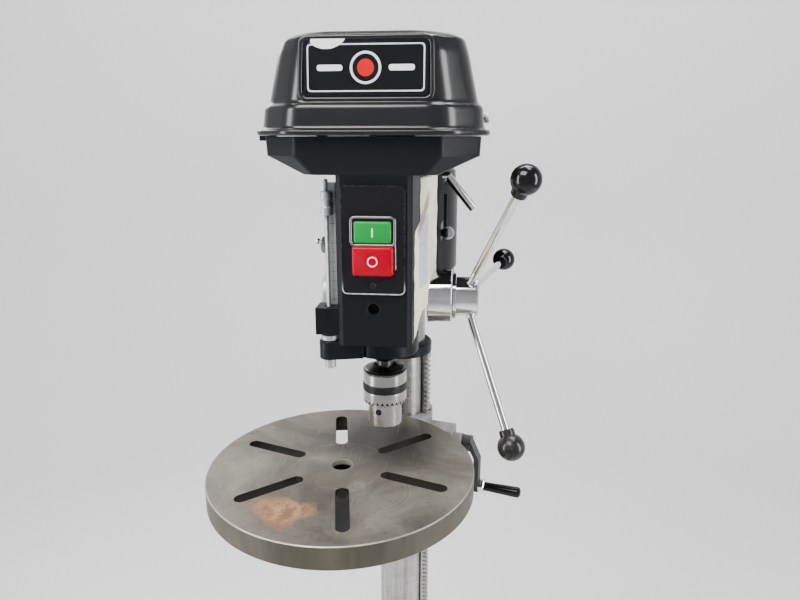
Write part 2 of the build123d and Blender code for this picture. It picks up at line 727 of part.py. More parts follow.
def lid():
    """Lid of the belt case: flange, band and tapering body, hollow, hinged on its left."""
    flange_low = TRAY_Z[1] + GAP
    flange = Pos(0, 0, flange_low) * extrude(case_outline(125, 83, -313, 243), 1546 - flange_low)
    body = flange + case_solid(lid_levels())
    inner = [(z - 2.5, w, f, y0, y1) for z, w, f, y0, y1 in lid_levels()]
    inner[0] = (flange_low - 1,) + lid_levels()[0][1:]
    body -= case_solid(inner, 2.5)
    for middle in hinge_middles():
        y = (middle - 7.6, middle + 7.6)
        body += rod_y(5, HINGE_X, y, HINGE_Z)
        body += block((HINGE_X, CASE_X - 121.5), y, (HINGE_Z - 2, HINGE_Z + 4.5))
        body -= rod_y(2.4 + RUN, HINGE_X, (y[0] - 1, y[1] + 1), HINGE_Z)
    return body


def step_pulley(steps, at, bore):
    """Stepped V-belt pulley, smallest or largest step first from below."""
    profile = [(bore, PULLEY_Z)]
    for number, pitch_r in enumerate(steps):
        z = PULLEY_Z + number * STEP_HEIGHT
        outer, floor = pitch_r + 4.0, pitch_r - 6.0
        middle = z + STEP_HEIGHT / 2
        profile += [
            (outer, z), (outer, middle - 6.3), (floor, middle - 4.3), (floor, middle + 4.3),
            (outer, middle + 6.3), (outer, z + STEP_HEIGHT),
        ]
    top = PULLEY_Z + len(steps) * STEP_HEIGHT
    return spun(profile + [(bore, top)], at)


def spindle_pulley():
    """Spindle pulley on its splined drive sleeve."""
    at = (0, SPINDLE_Y)
    body = step_pulley(SPINDLE_STEPS, at, 11.0) + disc(15, (1476, PULLEY_Z + 1), at)
    body += disc(11.5, (PULLEY_Z, PULLEY_Z + 40), at)
    body -= disc(12.5, (1475, 1477), at)
    return body - Pos(at[0], at[1], 1470) * extrude(spindle_spline(0.2), 160)


def pulley_bearings():
    """Two bearings that carry the spindle pulley's sleeve."""
    at = (0, SPINDLE_Y)
    lower = ring(30.9, 15 + RUN, (1480, 1495), at)
    upper = ring(30.9, 15 + RUN, (1515, 1530), at)
    return Compound([lower, upper])


def idler_post():
    """Foot and post of the middle pulley."""
    at = (0, IDLER_Y)
    body = disc(26, (TRAY_Z[0] + 3.1, TRAY_Z[0] + 10), at) + disc(8, (TRAY_Z[0] + 9, 1618), at)
    return body + disc(12, (TRAY_Z[0] + 9, PULLEY_Z - 0.4), at)


def idler_pulley():
    """Middle pulley that carries both belts."""
    return step_pulley(IDLER_STEPS, (0, IDLER_Y), 8 + RUN)


def belt(step, first, second):
    """V-belt round two pulleys, given as (pitch radius, y)."""
    middle = PULLEY_Z + (step + 0.5) * STEP_HEIGHT
    loops = []
    for offset in (3.0, -4.6):
        circles = [Pos(0, y) * Circle(radius + offset) for radius, y in (first, second)]
        loops.append(make_hull(circles[0].edges() + circles[1].edges()))
    body = extrude(loops[0], 4, both=True) - extrude(loops[1], 5, both=True)
    return Pos(0, 0, middle) * body


def spindle_belt():
    """Front belt, from the middle pulley to the spindle pulley."""
    step = SPINDLE_BELT_STEP
    return belt(step, (SPINDLE_STEPS[step], SPINDLE_Y), (IDLER_STEPS[step], IDLER_Y))


def motor_belt():
    """Rear belt, from the motor pulley to the middle pulley."""
    step = MOTOR_BELT_STEP
    return belt(step, (IDLER_STEPS[step], IDLER_Y), (MOTOR_STEPS[step], MOTOR_Y))


def motor_housing():
    """Motor shell with end bells, terminal box, lead gland and capacitor cover."""
    low, high = MOTOR_Z
    at = (0, MOTOR_Y)
    lower_bell = [(0, low), (62, low), (74, low + 5), (78, low + 14), (78, low + 34), (MOTOR_R, low + 34)]
    upper_bell = [(MOTOR_R, high - 30), (78, high - 30), (78, high - 10), (70, high - 3), (30, high - 3)]
    body = spun(lower_bell + upper_bell + [(28, high), (0, high)], at)
    body += block((-34, 34), (MOTOR_Y + 60, MOTOR_Y + 99), (low + 50, low + 150))
    body += block((-MOTOR_R - 16, -60), (MOTOR_Y - 26, MOTOR_Y + 26), (low + 60, low + 120))
    body += rod_between(9, (-MOTOR_R - 6, MOTOR_Y, low + 61), (-MOTOR_R - 6, MOTOR_Y, low + 48))
    body -= disc(70, (low + 12, high - 16), at)
    return body - disc(10 + RUN, (low + 5, high + 1), at)


def motor_bracket():
    """Plate that hangs the motor on the two slide bars."""
    back = MOTOR_Y - 60
    body = block((-66, 66), (64, 73), (BAR_Z - 36, BAR_Z + 36))
    body += block((-58, 58), (70, back), (BAR_Z - 30, BAR_Z + 30))
    body -= disc(MOTOR_R + RUN, (BAR_Z - 60, BAR_Z + 60), (0, MOTOR_Y))
    for side in (-1, 1):
        body -= rod_y(8 + RUN, side * BAR_X, (60, 74), BAR_Z)
    return body


def slide_bars():
    """Two bars that slide in the head; the right one has a fork for the tension lever."""
    left, right = (rod_y(8, side * BAR_X, (-128, 73), BAR_Z) for side in (-1, 1))
    fork = block((BAR_X - 4, BAR_X + 4), (LEVER_Y - 13, LEVER_Y + 13), (BAR_Z, LEVER_Z - 10))
    fork -= block((BAR_X - 5, BAR_X + 5), (LEVER_Y - 9, LEVER_Y + 9), (LEVER_Z - 26, LEVER_Z))
    return Compound([left, right + fork])


def motor_rotor():
    """Rotor and shaft."""
    at = (0, MOTOR_Y)
    low, high = MOTOR_Z
    body = disc(10, (low + 6, high + 4), at) + disc(8, (high + 3, PULLEY_Z + 4 * STEP_HEIGHT + 4), at)
    return body + disc(44, (low + 45, high - 55), at)


def motor_pulley():
    """Pulley on the motor's shaft."""
    return step_pulley(MOTOR_STEPS, (0, MOTOR_Y), 8 + RUN)


def tension_lever():
    """Bent lever on the right of the head, with the finger that moves the slide bars."""
    bar_r = 5.6
    elbow, end = (70, LEVER_Y, LEVER_Z), (105, LEVER_Y, LEVER_Z - 42.5)
    body = rod_x(6, (BAR_X - 9, 68), LEVER_Y, LEVER_Z) + rod_x(bar_r, (67, 70), LEVER_Y, LEVER_Z)
    body += block((BAR_X - 3.5, BAR_X + 3.5), (LEVER_Y - 3.5, LEVER_Y + 3.5), (LEVER_Z - 22, LEVER_Z))
    return body + Pos(*elbow) * Rot(90, 0, 0) * Sphere(bar_r) + rod_between(bar_r, elbow, end)


def slide_lock():
    """Bolt that locks the right slide bar."""
    body = rod_x(5, (BAR_X + 8.3, 70), -110, BAR_Z) + rod_x(10, (66, 73), -110, BAR_Z)
    return fillet(body.faces().sort_by(Axis.X)[-1].edges(), 2)


# ------------------------------------------------------------------ table and lift, arm towards -Y
def rack():
    """Rack beside the column, free to travel round it between the flange and the ring."""
    low, high = FLANGE_TOP + 1, RING_Z[0] - 1
    addendum = 0.8 * RACK_MODULE
    depth = 1.35 * RACK_MODULE
    pitch = math.pi * RACK_MODULE
    gear_z = WORM_Z - 25.5
    first = math.ceil((low + 6 - gear_z) / pitch)
    last = math.floor((high - 6 - gear_z) / pitch)
    gap = rack_gap(RACK_MODULE, addendum, depth, 0.3)
    back, face = COLUMN_R + 0.6, RACK_PITCH_X + addendum
    outline = [(back, low), (back, low - 5.5), (back + 4, low - 5.5), (back + 4, low), (face, low)]
    for number in range(first, last + 1):
        z = gear_z + number * pitch
        mouth = gap[1][1] - math.tan(math.radians(20))
        floor = gap[2][1]
        root = RACK_PITCH_X - depth
        outline += [(face, z - mouth), (root, z - floor), (root, z + floor), (face, z + mouth)]
    outline += [(face, high), (back + 4, high), (back + 4, high + 5.5), (back, high + 5.5)]
    body = plate_y(outline, (-8, 8))
    return body & block((back - 1, face + 1), (-8, 8), (low - 10, high + 10))


def table_bracket():
    """Bracket that climbs the column: split clamp, gear housing, tilt face."""
    low, high = BRACKET_Z
    body = disc(50, (low, high))
    body += block((36, 88), (-17, 17), (low + 8, high - 22))
    body += rod_x(14, (86, 103.5), 0, WORM_Z)
    body += rod_y(32, 0, (-66, -40), TILT_Z)
    body += block((-20, 20), (40, 80), (low + 24, high - 24))
    body -= disc(COLUMN_R + RUN, (low - 1, high + 1))
    body -= block((30, 46.8), (-8.6, 8.6), (low - 1, high + 1))
    gear_z = WORM_Z - 25.5
    body -= block((40, 83.5), (-8.6, 8.6), (gear_z - 21.5, WORM_Z + 12))
    body -= rod_x(11.5, (46, 83.5), 0, WORM_Z)
    body -= rod_x(7 + RUN, (80, 110), 0, WORM_Z)
    body -= rod_y(5 + RUN, RACK_PITCH_X + 17.5, (-16, 16), gear_z)
    body -= rod_y(8 + RUN, 0, (-70, -41), TILT_Z)
    body -= block((-2, 2), (30, 90), (low - 1, high + 1))
    return body - rod_x(5 + RUN, (-30, 30), 66, TILT_Z)


def tilt_bolt():
    """Bolt that the arm tilts on."""
    body = rod_y(8, 0, (-86, -42), TILT_Z)
    head = Pos(0, -96, TILT_Z) * Rot(-90, 0, 0) * extrude(RegularPolygon(12, 6, major_radius=False), 11)
    return body + head


def lift_gear():
    """Gear between worm and rack, on its own journals."""
    centre_x, centre_z = RACK_PITCH_X + RACK_MODULE * LIFT_TEETH / 2, WORM_Z - 25.5
    teeth = [(centre_x + u, centre_z + v) for u, v in gear_outline(RACK_MODULE, LIFT_TEETH, 180, 0.9)]
    return plate_y(teeth, (-8, 8)) + rod_y(5, centre_x, (-15.5, 15.5), centre_z)


def crank_shaft():
    """Crank shaft with the single-start worm that turns the lift gear."""
    body = rod_x(5.2, (48, 82), 0, WORM_Z) + rod_x(7, (81, CRANK_X - 1), 0, WORM_Z)
    lead = math.pi * RACK_MODULE
    turns = 3
    middle = RACK_PITCH_X + RACK_MODULE * LIFT_TEETH / 2
    helix = Helix(lead, turns * lead, 4.9)
    start = helix @ 0
    section = Plane(origin=start, x_dir=(1, 0, 0), z_dir=helix % 0)
    thread = section * Polygon((0, -1.7), (4.6, -0.7), (4.6, 0.7), (0, 1.7), align=None)
    worm = sweep(thread, path=helix, is_frenet=True)
    body += Pos(middle - turns * lead / 2, 0, WORM_Z) * Rot(180, 0, 0) * Rot(0, 90, 0) * worm
    return body


def crank_arm():
    """Dished crank arm, hanging down, with the nut that holds its grip."""
    top, low = WORM_Z, WORM_Z - CRANK_LENGTH
    body = rod_x(13, (104.5, CRANK_X), 0, top)
    arm = [(110, top + 6), (118, top + 6), (132, top - 24), (132, low - 8), (124, low - 8), (124, top - 22)]
    body += plate_y(arm, (-9, 9))
    body += rod_x(9, (124, 132), 0, low)
    body += rod_x(8.5, (131, 141), 0, low)
    return body - rod_x(7 + RUN, (100, CRANK_X - 0.9), 0, top) - rod_x(4.05, (120, 145), 0, low)


def crank_grip():
    """Tapered grip that turns on its pin."""
    low = WORM_Z - CRANK_LENGTH
    outline = [(141.3, 0), (141.3, 6), (143, 7), (165, 7.6), (194, 8.5), (197, 7.5), (199, 4), (199, 0)]
    return spun_x(outline, 0, low) + rod_x(4, (125, 142), 0, low)


def lock_handle(axis_y, axis_z, inner_x, outer_x, drop):
    """Clamp screw along X with a hub and a hanging bar."""
    body = rod_x(5, sorted((inner_x, outer_x)), axis_y, axis_z)
    side = 1 if outer_x > inner_x else -1
    body += rod_x(10, sorted((outer_x, outer_x + side * 16)), axis_y, axis_z)
    start = (outer_x + side * 8, axis_y, axis_z)
    end = (outer_x + side * 26, axis_y, axis_z - drop)
    return body + rod_between(4.5, start, end) + Pos(*end) * Sphere(8)


def column_lock():
    """Lever that clamps the bracket to the column."""
    return lock_handle(66, TILT_Z, 24, -20.5, 70)


def table_lock():
    """Lever that clamps the table's stem in the arm."""
    return lock_handle(-TABLE_REACH, 1060, -21, -52, 62)


def table_arm():
    """Arm from the tilt face to the table's hub."""
    body = rod_y(32, 0, (-84, -66.2), TILT_Z)
    body += block((-22, 22), (-195, -70), (1026, 1043.5)) + disc(40, (1026, 1094), (0, -TABLE_REACH))
    body += block((-6, 6), (-192, -70), (1018, 1030))
    body -= rod_y(8 + RUN, 0, (-90, -60), TILT_Z)
    body -= disc(20 + RUN, (1020, 1100), (0, -TABLE_REACH))
    return body - rod_x(5 + RUN, (-60, -15), -TABLE_REACH, 1060)


def table():
    """Round slotted table with its stem, ribs and centre hole."""
    at = (0, -TABLE_REACH)
    rim_low = TABLE_Z - TABLE_RIM
    skin_low = TABLE_Z - TABLE_SKIN
    under = [(0, 1094.4), (42, 1094.4), (46, skin_low), (TABLE_R - 14, skin_low), (TABLE_R - 13, rim_low)]
    rim = [(TABLE_R - 1, rim_low), (TABLE_R, rim_low + 1), (TABLE_R, TABLE_Z - 1), (TABLE_R - 1, TABLE_Z)]
    body = spun(under + rim + [(0, TABLE_Z)], at)
    body += disc(20, (1030, 1095), at)
    for number in range(6):
        rib = block((40, TABLE_R - 12), (-4, 4), (rim_low + 4, skin_low + 1))
        body += Pos(*at, 0) * Rot(0, 0, SLOT_PHASE + 30 + 60 * number) * rib
    for number in range(6):
        angle = SLOT_PHASE + 60 * number
        middle = (SLOT_FROM + SLOT_TO) / 2
        slot = oblong(SLOT_TO - SLOT_FROM, SLOT_WIDTH, (rim_low, TABLE_Z + 1), (middle, 0))
        body -= Pos(*at, 0) * Rot(0, 0, angle) * slot
    return body - disc(TABLE_HOLE_R, (1000, TABLE_Z + 1), at)


# ------------------------------------------------------------------ output
def write(name, shape, swung=False):
    """Moves a piece into the row's frame and writes its STEP."""
    if swung:
        shape = Rot(0, 0, SWING) * shape
    export_step(Pos(0, COLUMN_Y, 0) * shape, f"parts/{name}.step")


def main():
    """Builds and writes every piece."""
    os.makedirs("parts", exist_ok=True)
    still = [
        base, column_flange, flange_bolts, column, rack_ring, head_casting, power_gland, switch_panel,
        switch_block, lamp_socket, lamp_bulb, lamp_toggle, feed_barrel, spring_cap, return_spring, scale_bar,
        quill, quill_bearings, spindle, depth_yoke, depth_rod, rod_nut, depth_nuts, chuck_body, chuck_sleeve,
        pinion_shaft, feed_hub, feed_rods, feed_knobs, belt_tray, lid, spindle_pulley, pulley_bearings,
        idler_post, idler_pulley, spindle_belt, motor_belt, motor_housing, motor_bracket, slide_bars,
        motor_rotor, motor_pulley, tension_lever, slide_lock,
    ]
    swung = [
        rack, table_bracket, tilt_bolt, lift_gear, crank_shaft, crank_arm, crank_grip, column_lock,
        table_lock, table_arm, table,
    ]
    for piece in still:
        write(piece.__name__, piece())
    write("start_button", button("start", HEAD_FRONT_Y - 5.5))
    write("stop_button", button("stop", HEAD_FRONT_Y - 10))
    for turn in range(3):
        write(f"jaw_{turn + 1}", jaw(turn))
    for piece in swung:
        write(piece.__name__, piece(), swung=True)


if __name__ == "__main__":
    main()
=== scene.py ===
"""Drill press: camera, light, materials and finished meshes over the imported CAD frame."""
import json
import math
import random

import bmesh
import bpy
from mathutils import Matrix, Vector

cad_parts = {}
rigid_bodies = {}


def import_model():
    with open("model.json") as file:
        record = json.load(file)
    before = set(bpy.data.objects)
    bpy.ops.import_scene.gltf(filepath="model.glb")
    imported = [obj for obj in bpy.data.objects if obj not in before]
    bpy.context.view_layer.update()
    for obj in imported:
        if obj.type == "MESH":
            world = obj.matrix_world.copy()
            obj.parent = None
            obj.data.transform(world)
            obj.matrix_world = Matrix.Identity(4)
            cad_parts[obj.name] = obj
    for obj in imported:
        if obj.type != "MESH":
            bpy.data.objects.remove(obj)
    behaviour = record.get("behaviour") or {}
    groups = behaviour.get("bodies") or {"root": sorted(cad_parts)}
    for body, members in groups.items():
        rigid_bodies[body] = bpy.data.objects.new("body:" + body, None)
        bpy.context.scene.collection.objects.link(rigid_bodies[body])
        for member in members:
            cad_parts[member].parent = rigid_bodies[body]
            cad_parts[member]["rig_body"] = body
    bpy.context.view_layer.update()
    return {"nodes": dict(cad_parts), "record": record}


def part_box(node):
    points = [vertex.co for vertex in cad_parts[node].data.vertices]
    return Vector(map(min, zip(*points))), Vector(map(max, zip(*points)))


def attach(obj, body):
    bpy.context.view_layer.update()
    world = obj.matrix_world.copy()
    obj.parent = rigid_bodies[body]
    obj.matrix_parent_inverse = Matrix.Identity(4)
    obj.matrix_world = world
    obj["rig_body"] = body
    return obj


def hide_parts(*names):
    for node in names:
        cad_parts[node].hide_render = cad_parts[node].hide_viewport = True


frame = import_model()
MM = 0.001


# ------------------------------------------------------------------ places taken from the CAD nodes
def middle(node):
    """Centre of a CAD node's box."""
    low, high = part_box(node)
    return (low + high) / 2


def body_of(node):
    """Name of the body that a CAD node rides on."""
    return frame["nodes"][node]["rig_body"]


COLUMN = middle("column")
SPINDLE = middle("chuck_sleeve")
FEED = middle("pinion_shaft")
TABLE = middle("table")
HOLE_RADIUS = 13.5 * MM
KNOB_RADIUS = 16.3
PANEL_LOW, PANEL_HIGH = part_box("switch_panel")
LID_LOW, LID_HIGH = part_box("lid")
CASE_X = LID_HIGH.x - 125 * MM
PANEL_FRONT = PANEL_LOW.y
HINGE_MIDDLES = (COLUMN.y - 0.200, COLUMN.y + 0.096)
HINGE_AXIS = (LID_LOW.x + 5 * MM, 1.5415)
PLAQUE_LEFT, PLAQUE_RIGHT, PLAQUE_LOW, PLAQUE_HIGH = -71.5, 54.0, 1578.0, 1631.5


# ------------------------------------------------------------------ camera, floor and light
def make_camera():
    """Camera at the front, a little to the right, at the head's height and tilted down."""
    data = bpy.data.cameras.new("camera")
    data.sensor_width = 36.0
    data.lens = 28.476
    camera = bpy.data.objects.new("camera", data)
    camera.location = (COLUMN.x + 0.0886, COLUMN.y - 0.9529, 1.540)
    camera.rotation_euler = (math.radians(90 - 14.58), 0, math.radians(5.5))
    bpy.context.scene.collection.objects.link(camera)
    bpy.context.scene.camera = camera
    bpy.context.scene.view_settings.look = "AgX - Medium High Contrast"


def make_stage(material):
    """Pale round floor that curves up into a plain wall on every side."""
    radius, bend, top, centre_y, segments, steps = 4.1, 1.2, 5.0, -0.6, 96, 12
    profile = [(0.02, 0.0), (radius - bend, 0.0)]
    for step in range(1, steps + 1):
        angle = math.pi / 2 * step / steps
        profile.append((radius - bend + bend * math.sin(angle), bend - bend * math.cos(angle)))
    profile.append((radius, top))
    turns = [2 * math.pi * n / segments for n in range(segments)]
    verts = [(r * math.cos(t), centre_y + r * math.sin(t), z) for r, z in profile for t in turns]
    faces = []
    for level in range(len(profile) - 1):
        low, high = level * segments, (level + 1) * segments
        for n in range(segments):
            m = (n + 1) % segments
            faces.append((low + n, high + n, high + m, low + m))
    faces.append(tuple(range(segments)))
    mesh = bpy.data.meshes.new("stage")
    mesh.from_pydata(verts, [], faces)
    mesh.shade_smooth()
    mesh.materials.append(material)
    stage = bpy.data.objects.new("stage", mesh)
    bpy.context.scene.collection.objects.link(stage)


def soft_light(name, location, target, size, power, colour=(1.0, 1.0, 1.0)):
    """Rectangular studio light that faces target."""
    data = bpy.data.lights.new(name, "AREA")
    data.shape = "RECTANGLE"
    data.size, data.size_y = size
    data.energy = power
    data.color = colour
    light = bpy.data.objects.new(name, data)
    light.location = location
    light.rotation_euler = (Vector(target) - Vector(location)).to_track_quat("-Z", "Y").to_euler()
    bpy.context.scene.collection.objects.link(light)


def make_lights():
    """Large soft sources above and beside the object, and a dim even surround."""
    aim = (0, 0, 1.3)
    soft_light("key", (-0.7, -1.3, 3.1), aim, (1.5, 1.0), 48, (1.0, 0.98, 0.95))
    soft_light("left_strip", (-2.0, -1.05, 1.5), aim, (0.5, 2.2), 32, (0.97, 0.98, 1.0))
    soft_light("right_strip", (2.0, -0.75, 1.6), aim, (0.5, 2.2), 34)
    soft_light("rim", (-1.5, 1.7, 2.5), aim, (1.2, 0.8), 10)
    soft_light("top", (0.4, 0.2, 3.4), aim, (1.5, 0.6), 22)
    soft_light("backdrop", (0.0, 0.9, 3.8), (0, 3.0, 1.0), (3.0, 0.6), 75)
    world = bpy.data.worlds.new("surround")
    bpy.context.scene.world = world
    world.use_nodes = True
    nodes, links = world.node_tree.nodes, world.node_tree.links
    coordinates = nodes.new("ShaderNodeTexCoord")
    split = nodes.new("ShaderNodeSeparateXYZ")
    ramp = nodes.new("ShaderNodeValToRGB")
    low, high = ramp.color_ramp.elements
    low.position, low.color = 0.0, (0.05, 0.05, 0.055, 1)
    high.position, high.color = 0.9, (0.36, 0.37, 0.39, 1)
    links.new(coordinates.outputs["Generated"], split.inputs[0])
    links.new(split.outputs["Z"], ramp.inputs["Fac"])
    links.new(ramp.outputs["Color"], nodes["Background"].inputs["Color"])
    nodes["Background"].inputs["Strength"].default_value = 0.8


# ------------------------------------------------------------------ procedural materials
class Shader:
    """One principled material with short helpers for its texture nodes."""

    def __init__(self, name, metallic=0.0, **fixed):
        self.material = bpy.data.materials.new(name)
        self.material.use_nodes = True
        self.nodes = self.material.node_tree.nodes
        self.links = self.material.node_tree.links
        self.bsdf = self.nodes["Principled BSDF"]
        self.bsdf.inputs["Metallic"].default_value = metallic
        for socket, value in fixed.items():
            self.bsdf.inputs[socket.replace("_", " ").title()].default_value = value
        self.object_space = self.nodes.new("ShaderNodeTexCoord").outputs["Object"]

    def _join(self, value, socket):
        if isinstance(value, (int, float)):
            socket.default_value = value
        elif isinstance(value, tuple):
            socket.default_value = value if len(value) == 4 else (*value, 1.0)
        else:
            self.links.new(value, socket)

    def place(self, origin=(0, 0, 0), scale=(1, 1, 1), turn=(0, 0, 0)):
        """Object coordinates about origin, turned, then scaled."""
        shift = self.nodes.new("ShaderNodeVectorMath")
        shift.operation = "SUBTRACT"
        shift.inputs[1].default_value = origin
        self.links.new(self.object_space, shift.inputs[0])
        mapping = self.nodes.new("ShaderNodeMapping")
        mapping.inputs["Rotation"].default_value = turn
        mapping.inputs["Scale"].default_value = scale
        self.links.new(shift.outputs[0], mapping.inputs["Vector"])
        return mapping.outputs[0]

    def noise(self, scale, detail=3.0, rough=0.55, at=None, distortion=0.0):
        """Noise between 0 and 1; scale is in cells per metre."""
        node = self.nodes.new("ShaderNodeTexNoise")
        node.inputs["Scale"].default_value = scale
        node.inputs["Detail"].default_value = detail
        node.inputs["Roughness"].default_value = rough
        node.inputs["Distortion"].default_value = distortion
        self.links.new(self.object_space if at is None else at, node.inputs["Vector"])
        return node.outputs[0]

    def math(self, operation, first, second=0.0, clamp=False):
        """One arithmetic node."""
        node = self.nodes.new("ShaderNodeMath")
        node.operation = operation
        node.use_clamp = clamp
        self._join(first, node.inputs[0])
        self._join(second, node.inputs[1])
        return node.outputs[0]

    def times(self, first, second):
        """Product of two values."""
        return self.math("MULTIPLY", first, second)

    def plus(self, first, second):
        """Sum of two values."""
        return self.math("ADD", first, second)

    def most(self, first, second):
        """Larger of two values."""
        return self.math("MAXIMUM", first, second)

    def spread(self, value, low, high, to_low=0.0, to_high=1.0):
        """Value remapped from one range to another, held at its ends."""
        node = self.nodes.new("ShaderNodeMapRange")
        node.inputs["From Min"].default_value = low
        node.inputs["From Max"].default_value = high
        node.inputs["To Min"].default_value = to_low
        node.inputs["To Max"].default_value = to_high
        self.links.new(value, node.inputs["Value"])
        return node.outputs[0]

    def blend(self, factor, first, second):
        """Mix of two colours."""
        node = self.nodes.new("ShaderNodeMix")
        node.data_type = "RGBA"
        self._join(factor, node.inputs[0])
        self._join(first, node.inputs[6])
        self._join(second, node.inputs[7])
        return node.outputs[2]

    def axis(self, vector, name):
        """One component of a vector."""
        node = self.nodes.new("ShaderNodeSeparateXYZ")
        self.links.new(vector, node.inputs[0])
        return node.outputs[name]

    def radius(self, origin):
        """Distance from an upright axis through origin."""
        node = self.nodes.new("ShaderNodeVectorMath")
        node.operation = "LENGTH"
        self.links.new(self.place(origin, (1, 1, 0)), node.inputs[0])
        return node.outputs["Value"]

    def facing_up(self):
        """Upward component of the surface's normal in object space."""
        node = self.nodes.new("ShaderNodeTexCoord")
        return self.axis(node.outputs["Normal"], "Z")

    def bump(self, height, depth, under=None):
        """Normal from a height that runs over depth metres."""
        node = self.nodes.new("ShaderNodeBump")
        node.inputs["Strength"].default_value = 1.0
        node.inputs["Distance"].default_value = depth
        self.links.new(height, node.inputs["Height"])
        if under is not None:
            self.links.new(under, node.inputs["Normal"])
        return node.outputs[0]

    def finish(self, colour, roughness, normal=None):
        """Joins colour, roughness and normal to the shader."""
        self._join(colour, self.bsdf.inputs["Base Color"])
        self._join(roughness, self.bsdf.inputs["Roughness"])
        if normal is not None:
            self.links.new(normal, self.bsdf.inputs["Normal"])
        return self.material


def enamel(name, colour, gloss, skin_scale=420.0, skin_depth=0.00002, dust=0.05, shine=0.5):
    """Sprayed enamel: slight orange peel, uneven gloss and a little dust on top faces."""
    shader = Shader(name)
    shader.bsdf.inputs["Specular IOR Level"].default_value = shine
    patches = shader.noise(5.0, 2.0)
    peel = shader.noise(skin_scale, 2.0)
    smears = shader.noise(14.0, 2.0, 0.5)
    lighter = tuple(c * 1.16 + 0.001 for c in colour)
    tone = shader.blend(shader.spread(patches, 0.1, 0.9), colour, lighter)
    settled = shader.times(shader.spread(shader.facing_up(), 0.6, 1.0),
                           shader.spread(smears, 0.1, 0.9, 0.3, 1.0))
    dusty = shader.blend(shader.times(settled, dust), tone, (0.30, 0.29, 0.27))
    roughness = shader.plus(shader.spread(smears, 0.1, 0.9, gloss, gloss + 0.08),
                            shader.times(settled, dust))
    return shader.finish(dusty, roughness, shader.bump(peel, skin_depth))


def metal(name, colour, gloss, grain, grain_depth=0.000012, bare=1.0):
    """Metal with directional grain and faint stains; grain is the scale along each axis."""
    stain, stained = (0.3, 0.28, 0.25), 0.25
    shader = Shader(name, metallic=bare)
    lines = shader.noise(1.0, 3.0, 0.6, shader.place(scale=grain))
    cloud = shader.noise(26.0, 5.0, 0.6)
    fine = shader.noise(300.0, 2.0)
    tone = shader.blend(shader.spread(lines, 0.3, 0.7), tuple(c * 0.82 for c in colour), colour)
    marked = shader.blend(shader.spread(cloud, 0.5, 0.8, 0.0, stained), tone, stain)
    roughness = shader.plus(shader.spread(cloud, 0.3, 0.8, gloss, gloss + 0.14),
                            shader.spread(fine, 0.3, 0.7, 0.0, 0.04))
    return shader.finish(marked, roughness, shader.bump(lines, grain_depth))


def chrome(name):
    """Polished plating with faint hazing and handling marks."""
    shader = Shader(name, metallic=1.0)
    haze = shader.noise(45.0, 5.0, 0.7)
    marks = shader.noise(700.0, 2.0, 0.6)
    tone = shader.blend(shader.spread(haze, 0.45, 0.8), (0.78, 0.78, 0.79), (0.60, 0.59, 0.57))
    roughness = shader.spread(haze, 0.35, 0.85, 0.045, 0.17)
    return shader.finish(tone, roughness, shader.bump(marks, 0.0000015))


def plastic(name, colour, gloss, texture=0.000004, scuff=0.25):
    """Moulded plastic with a fine skin and scuffs."""
    shader = Shader(name)
    skin = shader.noise(900.0, 2.0)
    wear = shader.noise(70.0, 6.0, 0.7)
    scuffed = tuple(c * 0.8 + 0.03 for c in colour)
    tone = shader.blend(shader.spread(wear, 0.5, 0.85, 0.0, scuff), colour, scuffed)
    roughness = shader.spread(wear, 0.35, 0.8, gloss, gloss + 0.13)
    return shader.finish(tone, roughness, shader.bump(skin, texture))


def knob_plastic(name):
    """Black ball-knob plastic, scuffed and dusty on the knob that hangs lowest."""
    shader = Shader(name)
    height = shader.axis(shader.object_space, "Z")
    wear = shader.noise(90.0, 5.0, 0.7)
    skin = shader.noise(900.0, 2.0)
    hanging = shader.times(shader.spread(height, FEED.z - 0.10, FEED.z - 0.06, 1.0, 0.0),
                           shader.spread(height, FEED.z - 0.27, FEED.z - 0.24))
    scuffed = shader.times(hanging, shader.spread(wear, 0.2, 0.7, 0.3, 1.0))
    tone = shader.blend(shader.times(scuffed, 0.6), (0.010, 0.010, 0.011), (0.045, 0.044, 0.040))
    roughness = shader.plus(shader.spread(wear, 0.3, 0.8, 0.11, 0.20), shader.times(scuffed, 0.16))
    return shader.finish(tone, roughness, shader.bump(skin, 0.000006))


def bead_paint(name):
    """Black bead of the switch panel, with a painted grey highlight along its lower edge."""
    shader = Shader(name)
    height = shader.axis(shader.object_space, "Z")
    bead_mottle = shader.noise(120.0, 4.0)
    low = PANEL_LOW.z
    # Painted highlight: pale grey along the bead's lower edge, broken up by the mottle noise.
    shine = shader.times(shader.spread(height, low + 4 * MM, low + 16 * MM, 0.9, 0.0),
                         shader.spread(bead_mottle, 0.3, 0.6, 0.6, 1.0))
    tone = shader.blend(shine, (0.016, 0.016, 0.018), (0.52, 0.53, 0.54))
    return shader.finish(tone, shader.spread(bead_mottle, 0.3, 0.7, 0.22, 0.32), shader.bump(bead_mottle, 0.00002))


def ring_noise(shader, reach, scale, detail=3.0):
    """Noise that depends on a distance alone, so it draws rings."""
    node = shader.nodes.new("ShaderNodeTexNoise")
    node.noise_dimensions = "1D"
    node.inputs["Scale"].default_value = scale
    node.inputs["Detail"].default_value = detail
    shader.links.new(reach, node.inputs["W"])
    return node.outputs[0]


def band(shader, value, middle_at, half, soft):
    """One near a value, falling to nothing beyond half its width."""
    distance = shader.math("ABSOLUTE", shader.math("SUBTRACT", value, middle_at))
    return shader.spread(distance, half, half + soft, 1.0, 0.0)


def on_table(x, y):
    """Point on the table at a distance in millimetres from its centre."""
    return (TABLE.x + x * MM, TABLE.y + y * MM, TABLE.z)


